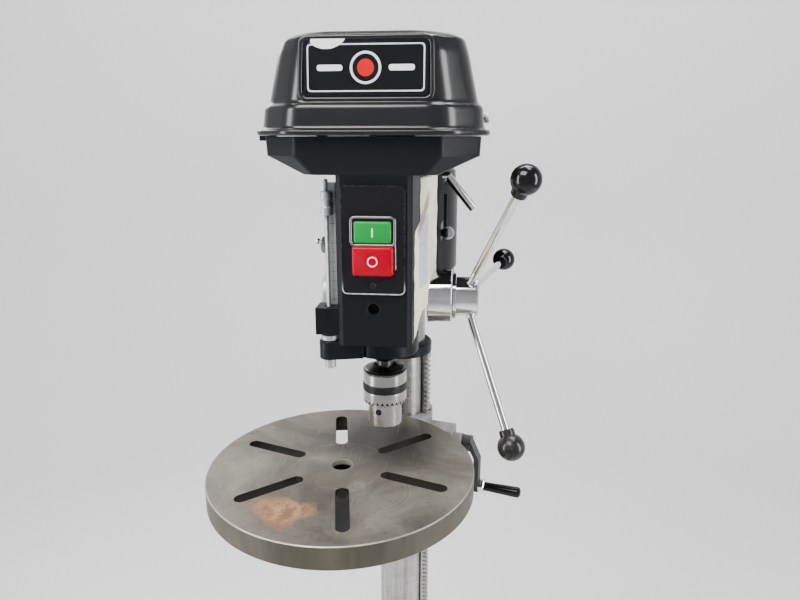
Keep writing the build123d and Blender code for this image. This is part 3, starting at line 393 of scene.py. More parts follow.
def table_rust(shader, top):
    """Share and colour of the rust patch, and the share of its darker halo."""
    reach = shader.nodes.new("ShaderNodeVectorMath")
    reach.operation = "LENGTH"
    stretched = shader.place(on_table(-50, -106), (0.95, 1.2, 0.0), (0, 0, math.radians(20)))
    shader.links.new(stretched, reach.inputs[0])
    wander = shader.times(shader.noise(26.0, 6.0, 0.72), 0.105)
    ragged = shader.plus(reach.outputs["Value"], wander)
    patchy = shader.noise(52.0, 5.0, 0.7)
    share = shader.times(shader.spread(ragged, 0.076, 0.090, 0.9, 0.0),
                         shader.spread(patchy, 0.30, 0.52, 0.35, 1.0))
    rightward = shader.spread(shader.axis(shader.place(on_table(-50, -106)), "X"), -0.02, 0.03)
    light = shader.blend(rightward, (0.46, 0.29, 0.18), (0.66, 0.48, 0.27))
    colour = shader.blend(shader.spread(patchy, 0.40, 0.62), (0.36, 0.19, 0.105), light)
    halo = shader.spread(ragged, 0.082, 0.150, 0.4, 0.0)
    return shader.times(share, top), colour, shader.times(halo, top)


def table_scuffs(shader, reach, cloud):
    """Share of the pale marks: a scribed circle, off-centre arcs, dried drops and scratches."""
    scribed = shader.times(band(shader, reach, 0.058, 0.0004, 0.0007),
                           shader.spread(cloud, 0.44, 0.62, 0.0, 0.35))
    arc_centre = on_table(47, -58)
    away = shader.radius(arc_centre)
    right_part = shader.spread(shader.axis(shader.place(arc_centre), "X"), 0.004, 0.022)
    arcs = shader.times(band(shader, away, 0.042, 0.012, 0.012),
                        shader.spread(ring_noise(shader, away, 330.0, 1.0), 0.50, 0.60, 0.0, 0.18))
    marks = shader.most(scribed, shader.times(arcs, right_part))
    wander = shader.times(shader.noise(75.0, 3.0), 0.012)
    for x, y, size in ((27, -52, 0.0145), (31, -47, 0.0125), (-46, -50, 0.009)):
        drop = shader.plus(shader.radius(on_table(x, y)), wander)
        marks = shader.most(marks, shader.times(band(shader, drop, size, 0.0004, 0.0014), 0.22))
    scratched = shader.noise(1.0, 2.0, 0.5, shader.place(scale=(420, 9, 9), turn=(0, 0, math.radians(34))))
    return shader.most(marks, shader.spread(scratched, 0.67, 0.75, 0.0, 0.32))


def table_top_tone(shader, top, reach, wide, cloud, speck, rings):
    """Colour of the table's face and the share of rust in it."""
    tone = shader.blend(shader.spread(wide, 0.38, 0.62), (0.098, 0.090, 0.076), (0.250, 0.235, 0.195))
    tone = shader.blend(shader.spread(cloud, 0.46, 0.66, 0.0, 0.55), tone, (0.165, 0.135, 0.105))
    tone = shader.blend(shader.spread(rings, 0.40, 0.62, 0.0, 0.16), tone, (0.28, 0.27, 0.25))
    tone = shader.blend(shader.spread(speck, 0.58, 0.72, 0.0, 0.40), tone, (0.055, 0.048, 0.042))
    # Painted shade: a dark patch on the face where the head's shadow and reflection fall.
    head_shade_patch = shader.plus(shader.radius(on_table(48, 78)), shader.times(cloud, 0.05))
    tone = shader.blend(shader.spread(head_shade_patch, 0.065, 0.125, 0.80, 0.0), tone, (0.040, 0.040, 0.042))
    tone = shader.blend(table_scuffs(shader, reach, cloud), tone, (0.40, 0.38, 0.34))
    rust, rust_tone, halo = table_rust(shader, top)
    tone = shader.blend(halo, tone, (0.090, 0.066, 0.050))
    return shader.blend(rust, tone, rust_tone), rust


def table_side_tone(shader, reach, rim):
    """Colour of the table's streaked side, with painted shade on the faces inside the rim: slot walls and
    underside.
    """
    streak = shader.noise(1.0, 4.0, 0.6, shader.place(TABLE, (45, 45, 9)))
    tone = shader.blend(shader.spread(streak, 0.3, 0.75), (0.098, 0.090, 0.070), (0.150, 0.138, 0.106))
    # Painted shade on the faces inside the rim, where the slots and the underside lie in shade.
    painted_slot_shade = shader.spread(reach, rim - 6 * MM, rim - 4 * MM, 0.8, 0.0)
    return shader.blend(painted_slot_shade, tone, (0.010, 0.010, 0.008))


def painted_rim_highlight(shader, reach, rim, cloud):
    """Share of painted highlight along the front part of the table's upper edge."""
    frontward = shader.spread(shader.axis(shader.place(TABLE), "Y"), -0.10, 0.02, 1.0, 0.12)
    upward = shader.times(shader.spread(shader.facing_up(), 0.15, 0.6), frontward)
    edge = shader.times(shader.spread(reach, rim - 1.8 * MM, rim - 0.9 * MM), upward)
    return shader.times(edge, shader.spread(cloud, 0.30, 0.55, 0.3, 1.0))


def bore_tone(shader, top_z):
    """Colour of the centre hole's wall: pale near the top and painted shade further down."""
    depth = shader.axis(shader.object_space, "Z")
    return shader.blend(shader.spread(depth, top_z - 8 * MM, top_z - 6 * MM), (0.008, 0.008, 0.007),
                        (0.42, 0.40, 0.33))


def machined_iron(name):
    """Table: turned rings, brown-grey staining, a rust patch, a painted highlight along the front edge,
    painted shade on the inner faces and down the hole, and dull sides.
    """
    shader = Shader(name, metallic=0.42)
    top = shader.spread(shader.facing_up(), 0.7, 0.95)
    reach = shader.radius(TABLE)
    low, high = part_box("table")
    rim = (high - low).x / 2
    wobble = shader.times(shader.noise(7.0, 3.0), 0.0006)
    rings = ring_noise(shader, shader.plus(reach, wobble), 700.0)
    wide = shader.noise(7.5, 5.0, 0.62, distortion=1.2)
    cloud = shader.noise(19.0, 6.0, 0.66, distortion=0.6)
    speck = shader.noise(230.0, 3.0, 0.6)
    face, rust = table_top_tone(shader, top, reach, wide, cloud, speck, rings)
    tone = shader.blend(top, table_side_tone(shader, reach, rim), face)
    # Painted highlight in a pale metal colour along the front of the upper edge.
    tone = shader.blend(painted_rim_highlight(shader, reach, rim, cloud), tone, (0.52, 0.49, 0.41))
    # Painted shade down the centre hole's wall, pale near its top.
    bore = shader.spread(reach, HOLE_RADIUS + 0.1 * MM, HOLE_RADIUS + 0.7 * MM, 1.0, 0.0)
    tone = shader.blend(bore, tone, bore_tone(shader, high.z))
    roughness = shader.plus(shader.spread(wide, 0.3, 0.7, 0.34, 0.48), shader.times(rust, 0.35))
    lumps = shader.bump(speck, 0.00004)
    return shader.finish(tone, roughness, shader.bump(rings, 0.00003, lumps))


def casting_with_painted_shade(name, colour):
    """Silver-grey casting with grime, and painted shade where it lies under the table."""
    shader = Shader(name)
    grain = shader.noise(260.0, 3.0)
    grime = shader.noise(38.0, 5.0, 0.7)
    # Painted shade: the casting goes dark within the table's reach, under the table, its edge wandering with
    # the grime noise.
    below = shader.spread(shader.plus(shader.radius(TABLE), shader.times(grime, 0.03)), 0.165, 0.190)
    tone = shader.blend(shader.spread(grime, 0.3, 0.75), colour, tuple(c * 0.6 for c in colour))
    tone = shader.blend(below, tuple(c * 0.12 for c in colour), tone)
    return shader.finish(tone, shader.spread(grime, 0.3, 0.8, 0.38, 0.6), shader.bump(grain, 0.00015))


def column_steel(name):
    """Ground tube: fine lines round it, long vertical streaks and grey mottling."""
    shader = Shader(name, metallic=0.95)
    rounds = shader.noise(1.0, 2.0, 0.5, shader.place(COLUMN, (14, 14, 1500)))
    streaks = shader.noise(1.0, 4.0, 0.65, shader.place(COLUMN, (95, 95, 3.5)))
    mottling = shader.noise(85.0, 6.0, 0.75)
    tone = shader.blend(shader.spread(streaks, 0.34, 0.68), (0.27, 0.265, 0.25), (0.56, 0.555, 0.54))
    tone = shader.blend(shader.spread(mottling, 0.52, 0.70, 0.0, 0.6), tone, (0.20, 0.19, 0.175))
    tone = shader.blend(shader.spread(rounds, 0.45, 0.7, 0.0, 0.35), tone, (0.66, 0.66, 0.65))
    roughness = shader.plus(shader.spread(streaks, 0.3, 0.7, 0.24, 0.38),
                            shader.spread(mottling, 0.45, 0.8, 0.0, 0.16))
    return shader.finish(tone, roughness, shader.bump(rounds, 0.00001))


def inside_band(shader, value, low, high, soft=0.003):
    """One between two limits, falling to nothing outside them."""
    return shader.times(shader.spread(value, low, low + soft),
                        shader.spread(value, high - soft, high, 1.0, 0.0))


def printed_block(shader, paper, height, depth):
    """Pale blue-grey printed area with faint broken bars."""
    block = shader.times(inside_band(shader, depth, 0.030, 0.070), inside_band(shader, height, 0.074, 0.158))
    printed = shader.blend(shader.times(block, 0.9), paper, (0.56, 0.62, 0.70))
    bars = shader.math("GREATER_THAN", shader.math("FRACT", shader.times(height, 118.0)), 0.66)
    gaps = shader.noise(1.0, 0.0, 0.5, shader.place(scale=(0, 60, 118)))
    broken = shader.math("GREATER_THAN", gaps, 0.45)
    ruled = shader.times(shader.times(bars, broken), shader.times(block, 0.35))
    return shader.blend(ruled, printed, (0.38, 0.40, 0.45))


def paper_label(name):
    """Cream label with a pale printed block, a slanting smear and grimy edges."""
    shader = Shader(name)
    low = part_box("head_casting")[0]
    place = shader.place((0, low.y, low.z))
    height, depth = shader.axis(place, "Z"), shader.axis(place, "Y")
    stain = shader.noise(42.0, 6.0, 0.7)
    fibres = shader.noise(1300.0, 2.0)
    paper = shader.blend(shader.spread(stain, 0.42, 0.75), (0.95, 0.93, 0.74), (0.84, 0.81, 0.58))
    tone = printed_block(shader, paper, height, depth)
    slant = shader.math("SUBTRACT", height, shader.times(depth, 0.72))
    across = shader.plus(slant, shader.times(shader.noise(60.0, 3.0), 0.012))
    smear = shader.times(inside_band(shader, across, 0.118, 0.140, 0.006),
                         inside_band(shader, depth, 0.020, 0.078, 0.012))
    tone = shader.blend(shader.times(smear, 0.75), tone, (0.33, 0.19, 0.22))
    grime = shader.times(shader.spread(stain, 0.55, 0.8), 0.35)
    tone = shader.blend(grime, tone, (0.40, 0.36, 0.26))
    return shader.finish(tone, shader.spread(stain, 0.3, 0.8, 0.42, 0.62), shader.bump(fibres, 0.000012))


def rubber(name, colour):
    """Cloth-faced belt rubber."""
    shader = Shader(name)
    weave = shader.noise(1500.0, 1.0)
    dust = shader.noise(50.0, 5.0, 0.7)
    tone = shader.blend(shader.spread(dust, 0.45, 0.8, 0.0, 0.5), colour, (0.09, 0.085, 0.08))
    return shader.finish(tone, shader.spread(dust, 0.3, 0.8, 0.55, 0.8), shader.bump(weave, 0.00006))


def frosted_glass(name):
    """Frosted lamp glass with a faint cloudiness."""
    shader = Shader(name, transmission_weight=0.55)
    cloud = shader.noise(120.0, 4.0)
    tone = shader.blend(shader.spread(cloud, 0.3, 0.7), (0.88, 0.87, 0.82), (0.95, 0.95, 0.93))
    return shader.finish(tone, shader.spread(cloud, 0.3, 0.7, 0.35, 0.5))


def floor_paint(name):
    """Plain pale studio floor."""
    shader = Shader(name)
    cloud = shader.noise(0.8, 3.0)
    tone = shader.blend(shader.spread(cloud, 0.3, 0.7), (0.70, 0.70, 0.71), (0.73, 0.73, 0.735))
    return shader.finish(tone, shader.spread(cloud, 0.3, 0.7, 0.55, 0.62))


# Maker and values of each material: the record's slots first, then those that only Blender pieces use.
MATERIAL_TABLE = {
    "cast_black": (enamel, (0.012, 0.014, 0.016), 0.33, 330.0, 0.00003, 0.03, 0.24),
    "sheet_black": (enamel, (0.016, 0.017, 0.018), 0.17, 520.0, 0.000004, 0.02, 0.6),
    "cast_grey": (enamel, (0.34, 0.345, 0.33), 0.34, 260.0, 0.00012, 0.15),
    "arm_grey": (casting_with_painted_shade, (0.33, 0.335, 0.32)),
    "chuck_steel": (metal, (0.56, 0.555, 0.53), 0.15, (18, 18, 1300)),
    "dull_chrome": (metal, (0.30, 0.30, 0.30), 0.24, (90, 90, 90)),
    "dark_steel": (metal, (0.13, 0.13, 0.125), 0.26, (20, 20, 900)),
    "dome_black": (enamel, (0.007, 0.008, 0.009), 0.24, 500.0, 0.000004, 0.0, 0.35),
    "cover_black": (enamel, (0.006, 0.008, 0.008), 0.62, 500.0, 0.00003, 0.0, 0.08),
    "band_black": (plastic, (0.011, 0.012, 0.012), 0.42, 0.00002, 0.1),
    "crank_iron": (enamel, (0.036, 0.037, 0.036), 0.34, 300.0, 0.00006, 0.25),
    "base_grey": (enamel, (0.20, 0.205, 0.20), 0.36, 220.0, 0.00015, 0.2),
    "bead": (bead_paint,),
    "scale_grey": (metal, (0.44, 0.46, 0.47), 0.36, (300, 300, 30), 0.000006, 0.25),
    "machined_iron": (machined_iron,),
    "column_steel": (column_steel,),
    "steel": (metal, (0.60, 0.59, 0.58), 0.22, (40, 40, 900)),
    "chrome": (chrome,),
    "zinc": (metal, (0.60, 0.61, 0.62), 0.34, (260, 260, 260), 0.000006, 0.55),
    "knob": (knob_plastic,),
    "panel": (enamel, (0.010, 0.010, 0.012), 0.22, 900.0, 0.000004, 0.02),
    "start": (plastic, (0.020, 0.31, 0.065), 0.28, 0.000004, 0.03),
    "stop": (plastic, (0.44, 0.001, 0.017), 0.34, 0.000004, 0.0),
    "aluminium": (metal, (0.74, 0.74, 0.75), 0.28, (30, 30, 1200), 0.00002),
    "belt": (rubber, (0.018, 0.018, 0.018)),
    "motor": (enamel, (0.014, 0.014, 0.015), 0.30, 420.0, 0.00003, 0.12),
    "spring_steel": (metal, (0.22, 0.24, 0.30), 0.24, (500, 60, 60)),
    "lamp_glass": (frosted_glass,),
    "matte_black": (plastic, (0.018, 0.018, 0.018), 0.48, 0.00002),
    "label": (paper_label,),
    "white_vinyl": (plastic, (0.80, 0.82, 0.82), 0.30, 0.000003, 0.15),
    "red_vinyl": (plastic, (0.62, 0.02, 0.02), 0.28, 0.000003, 0.15),
    "plaque": (enamel, (0.008, 0.009, 0.012), 0.16, 1000.0, 0.000002, 0.0),
    # Flat black for painted shade in holes, gaps and vents, and for the printed scale marks.
    "shadow": (plastic, (0.004, 0.004, 0.004), 0.7, 0.00001),
    "floor": (floor_paint,),
}


def make_materials():
    """Every material by name."""
    return {name: maker(name, *values) for name, (maker, *values) in MATERIAL_TABLE.items()}


# ------------------------------------------------------------------ mesh helpers
def in_metres(pairs):
    """Millimetre pairs as metres."""
    return [(a * MM, b * MM) for a, b in pairs]


def rectangle(left, low, right, high):
    """Corners of an upright rectangle."""
    return [(left, low), (right, low), (right, high), (left, high)]


def soften_shading(mesh, angle=32.0):
    """Smooth shading that keeps corners sharper than angle."""
    mesh.shade_smooth()
    mesh.set_sharp_from_angle(angle=math.radians(angle))


def add_piece(name, bm, body, slot, material=None, angle=32.0, standing_for=()):
    """Turns a bmesh into a shaded object that rides on a body."""
    bmesh.ops.recalc_face_normals(bm, faces=bm.faces)
    mesh = bpy.data.meshes.new(name)
    bm.to_mesh(mesh)
    bm.free()
    soften_shading(mesh, angle)
    mesh.materials.append(MATERIALS[material or slot])
    piece = bpy.data.objects.new(name, mesh)
    bpy.context.scene.collection.objects.link(piece)
    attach(piece, body)
    if standing_for:
        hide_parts(*standing_for)
    return piece


def turned_piece(name, profile, origin, axis, segments, *where, **look):
    """Separate turned piece from a profile in millimetres."""
    bm = bmesh.new()
    turned(bm, in_metres(profile), origin, axis, segments)
    return add_piece(name, bm, *where, **look)


def rounded(points, reach, steps=4, closed=True):
    """Points with each corner eased over a distance; works for points of any number of values."""
    count = len(points)
    result = []
    for n, corner in enumerate(points):
        if not closed and n in (0, count - 1):
            result.append(tuple(corner))
            continue
        ends = []
        for other in (points[n - 1], points[(n + 1) % count]):
            gap = math.dist(corner, other)
            share = min(0.48, reach / gap)
            ends.append([c + (o - c) * share for c, o in zip(corner, other)])
        for step in range(steps + 1):
            t = step / steps
            weights = ((1 - t) ** 2, 2 * t * (1 - t), t * t)
            result.append(tuple(
                weights[0] * a + weights[1] * c + weights[2] * b for a, c, b in zip(ends[0], corner, ends[1])
            ))
    return result


def loft(bm, loops, close_first=False, close_last=False):
    """Joins closed loops of equal length with quads and returns their vertices."""
    rings = [[bm.verts.new(point) for point in loop] for loop in loops]
    for lower, upper in zip(rings, rings[1:]):
        for n in range(len(lower)):
            m = (n + 1) % len(lower)
            bm.faces.new((lower[n], lower[m], upper[m], upper[n]))
    if close_first:
        bm.faces.new(rings[0][::-1])
    if close_last:
        bm.faces.new(rings[-1])
    return rings


def turned(bm, profile, origin, axis, segments=64):
    """Surface of revolution of (along, radius) points about an axis."""
    axis = Vector(axis).normalized()
    side = axis.orthogonal().normalized()
    other = axis.cross(side)
    loops = []
    for along, radius in profile:
        loops.append([
            Vector(origin) + axis * along + (side * math.cos(a) + other * math.sin(a)) * max(radius, 1e-5)
            for a in (2 * math.pi * n / segments for n in range(segments))
        ])
    loft(bm, loops, True, True)


def tube(bm, path, radius, closed=False, sides=10):
    """Round bar along a list of points."""
    points = [Vector(p) for p in path]
    count = len(points)
    loops = []
    previous = None
    for n, point in enumerate(points):
        after = points[(n + 1) % count] if closed or n < count - 1 else point
        before = points[n - 1] if closed or n > 0 else point
        along = (after - before).normalized()
        side = along.orthogonal() if previous is None else previous - along * previous.dot(along)
        side.normalize()
        previous = side
        other = along.cross(side)
        loops.append([point + (side * math.cos(a) + other * math.sin(a)) * radius
                      for a in (2 * math.pi * k / sides for k in range(sides))])
    if closed:
        loops.append(loops[0])
        rings = loft(bm, loops)
        bmesh.ops.remove_doubles(bm, verts=rings[0] + rings[-1], dist=1e-6)
    else:
        loft(bm, loops, True, True)


def plate(bm, outline, direction, thickness, edge=0.0):
    """Flat plate from a closed outline, raised along direction, with an eased front edge."""
    direction = Vector(direction).normalized()
    centre = sum((Vector(p) for p in outline), Vector()) / len(outline)
    size = max((Vector(p) - centre).length for p in outline)
    shrink = 1 - edge / size
    back = [Vector(p) for p in outline]
    low = [p + direction * max(thickness - edge, 0.0) for p in back]
    high = [centre + (p - centre) * shrink + direction * thickness for p in back]
    loft(bm, [back, low, high], True, True)


def softened(node, width, segments=2):
    """CAD node's shape with its edges eased, standing for the node."""
    source = frame["nodes"][node].data
    bm = bmesh.new()
    corners = [bm.verts.new(v.co) for v in source.vertices]
    for polygon in source.polygons:
        bm.faces.new([corners[i] for i in polygon.vertices])
    bmesh.ops.remove_doubles(bm, verts=bm.verts, dist=1e-5)
    bmesh.ops.dissolve_degenerate(bm, edges=bm.edges, dist=1e-6)
    bmesh.ops.dissolve_limit(bm, angle_limit=math.radians(0.6), verts=bm.verts, edges=bm.edges)
    piece = add_piece(f"{node}_form", bm, body_of(node), SLOT_OF[node], FINISH.get(node), 60.0, (node,))
    bevel = piece.modifiers.new("eased_edges", "BEVEL")
    bevel.width = width
    bevel.segments = segments
    bevel.limit_method = "ANGLE"
    bevel.angle_limit = math.radians(38)
    bevel.harden_normals = False
    bevel.use_clamp_overlap = True
    bevel.miter_outer = "MITER_ARC"
    weighted = piece.modifiers.new("weighted_normals", "WEIGHTED_NORMAL")
    weighted.weight = 60
    weighted.keep_sharp = True


# ------------------------------------------------------------------ belt case
def case_loop(z, half_width, half_front, front_y, rear_y, corner):
    """Plan of the belt case at one height, in metres, with rounded corners."""
    shoulder = front_y + 0.9 * (half_width - half_front)
    rear_shoulder = rear_y - 70
    half_rear = half_width * 0.5
    half = [
        (half_front, front_y), (half_width, shoulder), (half_width, rear_shoulder), (half_rear, rear_y),
    ]
    plan = half + [(-x, y) for x, y in reversed(half)]
    return [(CASE_X + x * MM, COLUMN.y + y * MM, z * MM) for x, y in rounded(plan, corner, 7)]


def make_lid():
    """Pressed lid: rolled lip, upright band, tapering body and crowned top, hollow inside."""
    outer = [
        (1539.6, 123, 81, -311, 241), (1541, 125, 83, -313, 243), (1545.2, 125, 83, -313, 243),
        (1546.6, 119, 78, -307.5, 237.5), (1569, 117, 76, -304, 235), (1572.5, 112, 73.5, -300, 230),
        (1622, 101, 66, -295, 219), (1636, 96.5, 62.5, -291, 214), (1641.2, 86, 55, -281, 203),
        (1642, 58, 35, -250, 170),
    ]
    inner = [(z - 2.0, w - 2.5, f - 2.0, y0 + 2.5, y1 - 2.5) for z, w, f, y0, y1 in reversed(outer[3:])]
    inner.append((1539.6, 117, 76, -305, 235))
    bm = bmesh.new()
    corner = 17.0
    loops = [case_loop(*level, corner) for level in rounded(outer, 4.0, 4, closed=False)]
    inside = [case_loop(*level, corner - 2) for level in inner]
    rings = loft(bm, loops, close_last=True)
    hollow = loft(bm, inside)
    bm.faces.new(hollow[0])
    for n in range(len(rings[0])):
        m = (n + 1) % len(rings[0])
        bm.faces.new((rings[0][n], rings[0][m], hollow[-1][m], hollow[-1][n]))
    for middle_y in HINGE_MIDDLES:
        add_lid_knuckle(bm, middle_y)
    piece = add_piece("lid_form", bm, "lid", "sheet_black", angle=50.0, standing_for=("lid",))
    weighted = piece.modifiers.new("weighted_normals", "WEIGHTED_NORMAL")
    weighted.weight = 50


def add_lid_knuckle(bm, middle_y):
    """Rolled knuckle of one hinge with its leaf to the lid's lip."""
    x, z = HINGE_AXIS
    half, radius = 7.5 * MM, 4.9 * MM
    end, step = 3.9 * MM, 0.6 * MM
    turned(bm, [(-half, end), (-half + step, radius), (half - step, radius), (half, end)],
           (x, middle_y, z), (0, 1, 0), 28)
    right, low, high = CASE_X - 119.5 * MM, z + 0.6 * MM, z + 4.3 * MM
    outline = [(u, v, low) for u, v in rectangle(x, middle_y - half, right, middle_y + half)]
    plate(bm, outline, (0, 0, 1), high - low, 0.5 * MM)


def front_point(x, z, out=0.0):
    """Point on the lid's sloping front face, moved out by a distance."""
    low_z, low_y, high_z, high_y = 1572.5, -300.0, 1622.0, -295.0
    share = (z - low_z) / (high_z - low_z)
    slope = math.atan2(high_y - low_y, high_z - low_z)
    y = low_y + (high_y - low_y) * share
    return Vector((x * MM, COLUMN.y + (y - out * math.cos(slope)) * MM, (z + out * math.sin(slope)) * MM))


def front_sheet(bm, outline, out, thickness, edge):
    """Thin plate on the lid's front from an outline in millimetres."""
    outward = front_point(0, PLAQUE_LOW, 1.0) - front_point(0, PLAQUE_LOW)
    plate(bm, [front_point(x, z, out) for x, z in outline], outward, thickness * MM, edge * MM)


def front_bar(bm, outline, out, radius, sides):
    """Closed round bar along an outline on the lid's front, in millimetres."""
    tube(bm, [front_point(x, z, out) for x, z in outline], radius * MM, closed=True, sides=sides)


def make_plaque():
    """Front plaque in its pressed frame, and a blank sticker over one corner."""
    left, right, low, high = PLAQUE_LEFT, PLAQUE_RIGHT, PLAQUE_LOW, PLAQUE_HIGH
    frame_line = [(left - 4, low - 3), (right + 4, low - 3),
                  (right + 2.5, high + 2.5), (left - 2.5, high + 2.5)]
    bm = bmesh.new()
    front_bar(bm, rounded(frame_line, 9.0, 7), -1.2, 2.9, 16)
    add_piece("lid_frame", bm, "lid", "sheet_black")
    bm = bmesh.new()
    front_sheet(bm, rounded(rectangle(left, low, right, high), 5.0, 6), 0.1, 0.5, 0.3)
    add_piece("lid_plaque", bm, "lid", "panel", "plaque")
    make_plaque_marks()
    top = high + 1.5
    patch = [(left + 8, top), (left + 43, top), (left + 41, top - 3.5), (left + 36, top - 7.5),
             (left + 28, top - 10.5), (left + 19, top - 10.5), (left + 11, top - 7.8), (left + 7, top - 4)]
    bm = bmesh.new()
    front_sheet(bm, rounded(patch, 2.0, 3), 0.75, 0.3, 0.15)
    add_piece("lid_sticker", bm, "lid", "panel", "white_vinyl")


def make_plaque_marks():
    """Generic marks: a double outline, a ring with a dot and two short bars."""
    bm = bmesh.new()
    for inset in (4.2, 5.0):
        line = rectangle(PLAQUE_LEFT + inset, PLAQUE_LOW + inset, PLAQUE_RIGHT - inset, PLAQUE_HIGH - inset)
        front_bar(bm, rounded(line, 4.0, 6), 0.5, 0.42, 6)
    ring_x, ring_z = (PLAQUE_LEFT + PLAQUE_RIGHT) / 2, (PLAQUE_LOW + PLAQUE_HIGH) / 2
    angles = [math.radians(a) for a in range(0, 360, 6)]
    for radius in (15.0, 13.8):
        ring = [(ring_x + radius * math.cos(a), ring_z + radius * math.sin(a)) for a in angles]
        front_bar(bm, ring, 0.4, 0.8, 6)
    for side in (-1, 1):
        near, far = ring_x + side * 23, ring_x + side * 49
        front_sheet(bm, rounded(rectangle(near, ring_z - 3, far, ring_z + 3), 2.8, 4), 0.5, 0.35, 0.2)
    add_piece("plaque_marks", bm, "lid", "panel", "white_vinyl")
    bm = bmesh.new()
    dot = [(ring_x + 8.5 * math.cos(a), ring_z + 8.5 * math.sin(a)) for a in angles]
    front_sheet(bm, dot, 0.5, 0.4, 0.25)
    add_piece("plaque_dot", bm, "lid", "panel", "red_vinyl")


def make_lid_knob():
    """Small round-headed stop on the right of the lid."""
    head = [(-9, 2.6), (-1, 2.6), (-1, 4.4), (0, 5.4), (3.4, 5.4), (4.6, 4.6), (5.0, 3.0), (5.1, 0)]
    spot = (CASE_X + 120.5 * MM, COLUMN.y - 0.226, 1.5585)
    turned_piece("lid_knob", head, spot, (1, 0, 0), 32, "lid", "zinc")


# ------------------------------------------------------------------ head details
def make_bezel():
    """Bezel round the start button, with a right side that runs on down past the stop button."""
    low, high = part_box("start_button")
    stop_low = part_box("stop_button")[0]
    left, right = low.x - 2.0 * MM, high.x + 2.8 * MM
    bottom, top = low.z - 1.0 * MM, high.z + 3.6 * MM
    depth = PANEL_FRONT - 1.0 * MM
    bm = bmesh.new()
    loop = rounded(rectangle(left, bottom, right, top), 5 * MM, 7)
    tube(bm, [(x, depth, z) for x, z in loop], 1.6 * MM, closed=True, sides=12)
    drop = [(right, bottom + 4 * MM), (right + 0.3 * MM, bottom - 6 * MM),
            (right + 0.4 * MM, stop_low.z + 8 * MM)]
    tube(bm, [(x, depth, z) for x, z in rounded(drop, 3 * MM, 4, closed=False)], 1.2 * MM, sides=10)
    add_piece("button_bezel", bm, "stand", "chrome", "dull_chrome")


def make_panel_details():
    """Bead round the switch panel and the screw below the buttons."""
    inset = 0.8 * MM
    edge = rectangle(PANEL_LOW.x + inset, PANEL_LOW.z + inset, PANEL_HIGH.x - inset, PANEL_HIGH.z - inset)
    bm = bmesh.new()
    line = [(x, PANEL_FRONT + 0.2 * MM, z) for x, z in rounded(edge, 6 * MM, 7)]
    tube(bm, line, 0.8 * MM, closed=True, sides=10)
    add_piece("panel_bead", bm, "stand", "panel", "bead")
    screw = [(-2, 3.6), (0.6, 3.6), (1.3, 2.9), (1.5, 1.6), (0.7, 1.4), (0.7, 0)]
    spot = (-4 * MM, PANEL_FRONT, 1.3835)
    turned_piece("panel_screw", screw, spot, (0, -1, 0), 28, "stand", "matte_black")


def make_buttons():
    """Start and stop buttons with rounded corners and softly crowned faces."""
    for node, margin in (("start_button", 0.1), ("stop_button", 0.9)):
        low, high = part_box(node)
        loops = []
        for depth, inset in ((0.0, 0.0), (0.75, 0.0), (0.90, 0.5), (0.97, 1.3), (1.0, 2.4)):
            y = high.y + (low.y - high.y) * depth
            shrink = (margin + inset) * MM
            corners = rectangle(low.x + shrink, low.z + shrink, high.x - shrink, high.z - shrink)
            loops.append([(x, y, z) for x, z in rounded(corners, 3.2 * MM, 6)])
        bm = bmesh.new()
        loft(bm, loops, True, True)
        add_piece(f"{node}_form", bm, body_of(node), SLOT_OF[node], angle=50, standing_for=(node,))


def make_drift_hole_shade():
    """Painted shade: a dark oblong ring round the hole below the panel, standing for the shade in its
    countersink.
    """
    centre = Vector((-4 * MM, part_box("head_casting")[0].y, 1356 * MM))
    turns = [2 * math.pi * n / 40 for n in range(40)]
    loops = []
    for wide, tall, out in ((6.2, 6.2, 0.02), (6.4, 6.3, 0.06), (8.3, 6.6, 0.06), (8.4, 6.7, 0.02)):
        loops.append([centre + Vector((wide * math.cos(t), -out, tall * math.sin(t))) * MM for t in turns])
    bm = bmesh.new()
    loft(bm, loops + [loops[0]])
    add_piece("drift_hole_shade", bm, "stand", "cast_black", "shadow")


def make_button_marks():
    """Raised bar on the start button and raised ring on the stop button."""
    bar = rounded(rectangle(-0.9, -5, 0.9, 5), 0.9, 4)
    ring = [(5 * math.cos(math.radians(a)), 5 * math.sin(math.radians(a))) for a in range(0, 360, 10)]
    for node, is_ring, line in (("start_button", False, bar), ("stop_button", True, ring)):
        centre, face = middle(node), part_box(node)[0].y - 0.05 * MM
        spots = [(centre.x + x, centre.z + z) for x, z in in_metres(line)]
        bm = bmesh.new()
        if is_ring:
            tube(bm, [(x, face, z) for x, z in spots], 0.75 * MM, closed=True, sides=8)
        else:
            plate(bm, [(x, face + 0.3 * MM, z) for x, z in spots], (0, -1, 0), 0.6 * MM, 0.15 * MM)
        add_piece(f"{node}_mark", bm, body_of(node), "panel", "white_vinyl")


def side_x(y):
    """X of the head's right side at a Y measured from the column, in millimetres."""
    front_x, front_y, rear_x, rear_y = 38.0, -286.0, 60.0, -176.0
    return front_x + (rear_x - front_x) * (y - front_y) / (rear_y - front_y)


def underside_y(z):
    """Rear limit of the head's side at a height, along its sloping underside."""
    profile = [(1313.0, -286.0), (1321.0, -268.0), (1334.0, -255.0), (1343.0, -239.0)]
    for (low_z, low_y), (high_z, high_y) in zip(profile, profile[1:]):
        if z <= high_z:
            return low_y + (high_y - low_y) * (z - low_z) / (high_z - low_z)
    return profile[-1][1]


def label_edges(step, z, rng):
    """Front and rear ends of the label at a height, in millimetres: worn, torn and uneven."""
    front_edge, rear_edge, side_z = -279.0, -180.0, 1345.0
    tear_z, tear_height, tear_depth = 1438.0, 11.0, 22.0
    torn = min(max((z - tear_z) / tear_height, 0.0), 1.0) * tear_depth
    front = front_edge + torn + 0.8 * math.sin(step * 0.7) + rng.uniform(-0.7, 0.7)
    rear = rear_edge + 1.2 * math.sin(step * 0.43 + 1) + rng.uniform(-0.8, 0.8)
    if z < side_z:
        rear = underside_y(z) - 4 + rng.uniform(-0.6, 0.6)
    return front, rear


